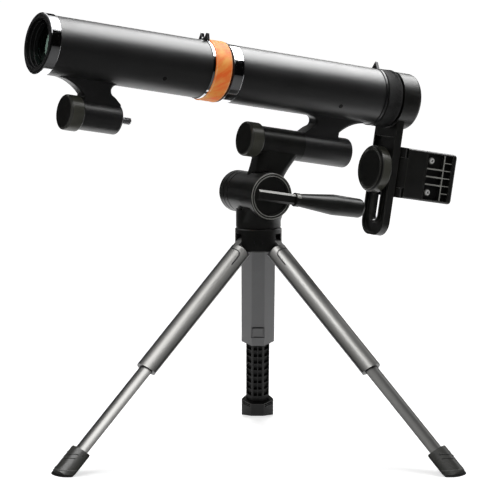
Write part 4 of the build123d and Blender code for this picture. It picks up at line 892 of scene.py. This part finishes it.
def makeStudEnd():
    radius, length, tip, core = (studEnd[k] for k in ("radius", "length", "tip", "core"))
    sunk, sides, steps, pitch = (studEnd[k] for k in ("sunk", "sides", "turnSteps", "pitch"))
    lathe = [(core, -sunk), (radius, -sunk), (radius, length - tip), (radius - tip, length), (core, length)]

    def spot(r, k, count, z):
        turn = 2 * pi * k / count
        return bossFrame @ (Vector((r * cos(turn), r * sin(turn), studEnd["start"] + z)) * mm)

    bm = bmesh.new()
    rings = [[bm.verts.new(spot(r, k, sides, z)) for k in range(sides)] for r, z in lathe]
    for a, b in zip(rings, rings[1:]):
        for k in range(sides):
            bm.faces.new((a[k], a[(k + 1) % sides], b[(k + 1) % sides], b[k])).smooth = True
    bm.faces.new(rings[-1])
    bm.faces.new(rings[0][::-1])
    count = int(steps * (length / pitch)) - studEnd["runOut"]
    helix = [spot(radius, k, steps, pitch * k / steps) for k in range(count)]
    beadPiece("studThread", [helix], studEnd["bead"], looks["steel"], "front_lock", studEnd["threadSides"])
    settle(pieceOf(bm, "studEnd"), "front_lock", [looks["steel"]])


# the set screws' holes in the two tubes, covered by dull black discs: the screws' black, and painted shade of the
# holes
screwHoleShade = {"radius": 2.05, "depth": 0.12, "split": 250.0, "reach": 25.78, "sides": 28, "edge": 0.05}


def makeScrewHoleShades():
    spots = [toScope @ v.co for v in nodes["set_screws"].data.vertices]
    turns = [2 * pi * k / screwHoleShade["sides"] for k in range(screwHoleShade["sides"])]
    ring = [(screwHoleShade["radius"] * cos(a), screwHoleShade["radius"] * sin(a)) for a in turns]
    wells = []
    for front in (True, False):
        group = [p for p in spots if (p.z / mm < screwHoleShade["split"]) == front]
        middle = sum(group, Vector()) / len(group)
        out = Vector((middle.x, middle.y, 0)).normalized()
        onTube = scopeFrame @ (out * screwHoleShade["reach"] * mm + Vector((0, 0, middle.z)))
        laid = along(onTube, scopeFrame.to_3x3() @ out, rear)
        wells.append(outline(ring, screwHoleShade["depth"], laid, "well", screwHoleShade["edge"]))
    settle(joined("screwWells", wells), "scope", [looks["knob_plastic"]])


makeScrewRecessShade()
makeSlotRimHighlight()
makeDiscRimHighlights()
makeScrewHoleShades()
makeStudEnd()
print("details grown")


# studio: white floor and surround, soft boxes, dark cards all round for the metal to mirror
studio = {"floorSize": 30.0, "floorTone": 0.80, "floorSpread": 0.02, "floorGrain": 40.0, "floorDrop": 0.0002,
          "ambient": 0.30, "glowNear": 0.62, "glowFar": 0.80, "nearReach": 0.5, "farReach": 2.6,
          "clothGrain": 8.0, "clothSpread": 0.004, "tones": (0.2, 0.8)}
cards = {   # centre, facing, width, height, tone
    "frontCard": ((0.0, -2.9, 1.45), (0, 1, 0), 9.0, 3.6, 0.004),
    "floorCard": ((0.0, -1.48, 0.002), (0, 0, 1), 7.0, 2.84, 0.10),
    "leftCard": ((-2.6, -0.3, 1.35), (1, 0.1, 0), 5.0, 3.2, 0.004),
    "rightCard": ((2.6, -0.3, 1.35), (-1, 0.1, 0), 5.0, 3.2, 0.004),
    "backCard": ((-1.75, 2.8, 1.75), (0, -1, 0), 5.5, 1.5, 0.004),
    "backLeftCard": ((-1.75, 2.75, 0.5), (0, -1, 0), 2.7, 1.1, 0.004),
    "backRightCard": ((1.85, 2.75, 0.5), (0, -1, 0), 2.7, 1.1, 0.004),
    "leftFloorCard": ((-1.55, 0.9, 0.002), (0, 0, 1), 2.2, 2.2, 0.004),
}
boxes = {   # place, aim, width, depth, power, lights dull surfaces, shows in gloss
    "topBox": ((-0.05, 0.15, 1.7), (0, 0.1, 0.25), 0.95, 0.9, 16.0, True, False),
    "frontBox": ((-0.75, -1.5, 1.5), (0, 0, 0.2), 0.5, 0.3, 7.0, True, False),
    "rightBox": ((1.5, -0.5, 0.9), (0, 0, 0.2), 0.4, 0.7, 2.5, True, False),
    "tubeGloss": ((0.95, 0.95, 1.72), (0.95, 0.95, 0), 1.2, 2.4, 64.0, False, True),
    "leftLegGloss": ((-1.2, -0.25, 1.85), (0, 0, 0.15), 1.3, 1.3, 25.0, False, True),
    "rightLegGloss": ((1.0, -0.45, 1.88), (0, 0, 0.15), 0.5, 0.5, 9.5, False, True),
    "lensStrip": ((-2.3, 1.13, 0.62), (-0.15, -0.13, 0.37), 4.0, 0.5, 9.0, False, True),
}


def seenRay(w):
    # one for rays that show the backdrop itself, nought for light that falls on the object
    path = w.node("LightPath").socket.node
    kinds = [Wire(w.tree, path.outputs[f"Is {kind} Ray"]) for kind in ("Camera", "Glossy", "Transmission")]
    return (kinds[0] + kinds[1] + kinds[2]).step(0.0, 1.0)


def sceneSetup():
    scene = bpy.context.scene
    scene.view_settings.view_transform = "Standard"
    world = bpy.data.worlds.new("studioWorld")
    scene.world = world
    world.use_nodes = True
    w = Wire(world.node_tree)
    seen = seenRay(w)
    back = world.node_tree.nodes["Background"]
    back.inputs["Color"].default_value = (1, 1, 1, 1)
    strength = seen * (1.0 - studio["ambient"]) + studio["ambient"]
    world.node_tree.links.new(strength.socket, back.inputs["Strength"])


def grey(tone):
    return (tone, tone, tone)


def panel(name, where, width, height, mat):
    # a flat rectangle of the stage
    corners = ((-1, -1), (1, -1), (1, 1), (-1, 1))
    mesh = bpy.data.meshes.new(name)
    mesh.from_pydata([where @ Vector((x * width / 2, y * height / 2, 0)) for x, y in corners], [], [(0, 1, 2, 3)])
    mesh.materials.append(mat)
    return link(bpy.data.objects.new(name, mesh))


def makeFloor():
    mat, shader, w = newMaterial("paleFloor", {"Specular IOR Level": 0.0, "Roughness": 0.9,
                                               "Emission Strength": 1.0})
    where = place(w)
    grain = noise(w, where, studio["floorGrain"], 3.0).step(*studio["tones"])
    reach = w.node("VectorMath", {"operation": "LENGTH"}, {0: where}, 1)
    spread = reach.step(studio["nearReach"], studio["farReach"])
    glow = spread.tint(grey(studio["glowNear"]), grey(studio["glowFar"]))
    tone = studio["floorTone"]
    feed(mat, shader, Base_Color=grain.tint(grey(tone), grey(tone + studio["floorSpread"])),
         Emission_Color=seenRay(w).tint(grey(0), glow))
    floor = panel("floor", Matrix(), studio["floorSize"], studio["floorSize"], mat)
    floor.location.z = -studio["floorDrop"]


def darkCard(name, centre, facing, width, height, tone):
    # a black flag that only mirrors and glass see
    mat, shader, w = newMaterial(name + "Cloth", {"Roughness": 1.0, "Specular IOR Level": 0.0})
    cloth = noise(w, place(w), studio["clothGrain"]).step(*studio["tones"])
    feed(mat, shader, Base_Color=cloth.tint(grey(tone), grey(tone + studio["clothSpread"])))
    upward = Vector((0, 1, 0)) if facing[2] else Vector((0, 0, 1))
    card = panel(name, along(Vector(centre), Vector(facing), upward), width, height, mat)
    card.visible_camera = False
    card.visible_diffuse = False
    card.visible_shadow = False


def softBox(name, spot, aim, width, depth, power, onDull, inGloss):
    data = bpy.data.lights.new(name, "AREA")
    data.shape = "RECTANGLE"
    data.size, data.size_y, data.energy = width, depth, power
    lamp = link(bpy.data.objects.new(name, data))
    lamp.location = spot
    lamp.rotation_euler = (Vector(aim) - Vector(spot)).to_track_quat("-Z", "Y").to_euler()
    lamp.visible_camera = False
    lamp.visible_diffuse = onDull
    lamp.visible_glossy = inGloss
    return lamp


def lightsOnly(lamp, wanted):
    # a lamp that shows only in the pieces that are wanted
    group = bpy.data.collections.new(lamp + "Only")
    for obj in bpy.data.objects:
        if obj.type == "MESH" and wanted(obj.name):
            group.objects.link(obj)
    lamps[lamp].light_linking.receiver_collection = group


sceneSetup()
makeFloor()
for name, card in cards.items():
    darkCard(name, *card)
lamps = {name: softBox(name, *box) for name, box in boxes.items()}
lensParts = ("objectiveLens", "lensRingLine", "lensRingInnerLine")
legParts = ("upperLeg", "lowerLeg", "foot")
lightsOnly("lensStrip", lambda name: name in lensParts)
lightsOnly("leftLegGloss", lambda name: name.startswith(legParts))
lightsOnly("rightLegGloss", lambda name: name.startswith("upperLeg"))
lightsOnly("tubeGloss", lambda name: not name.startswith(legParts))
print("studio ready")
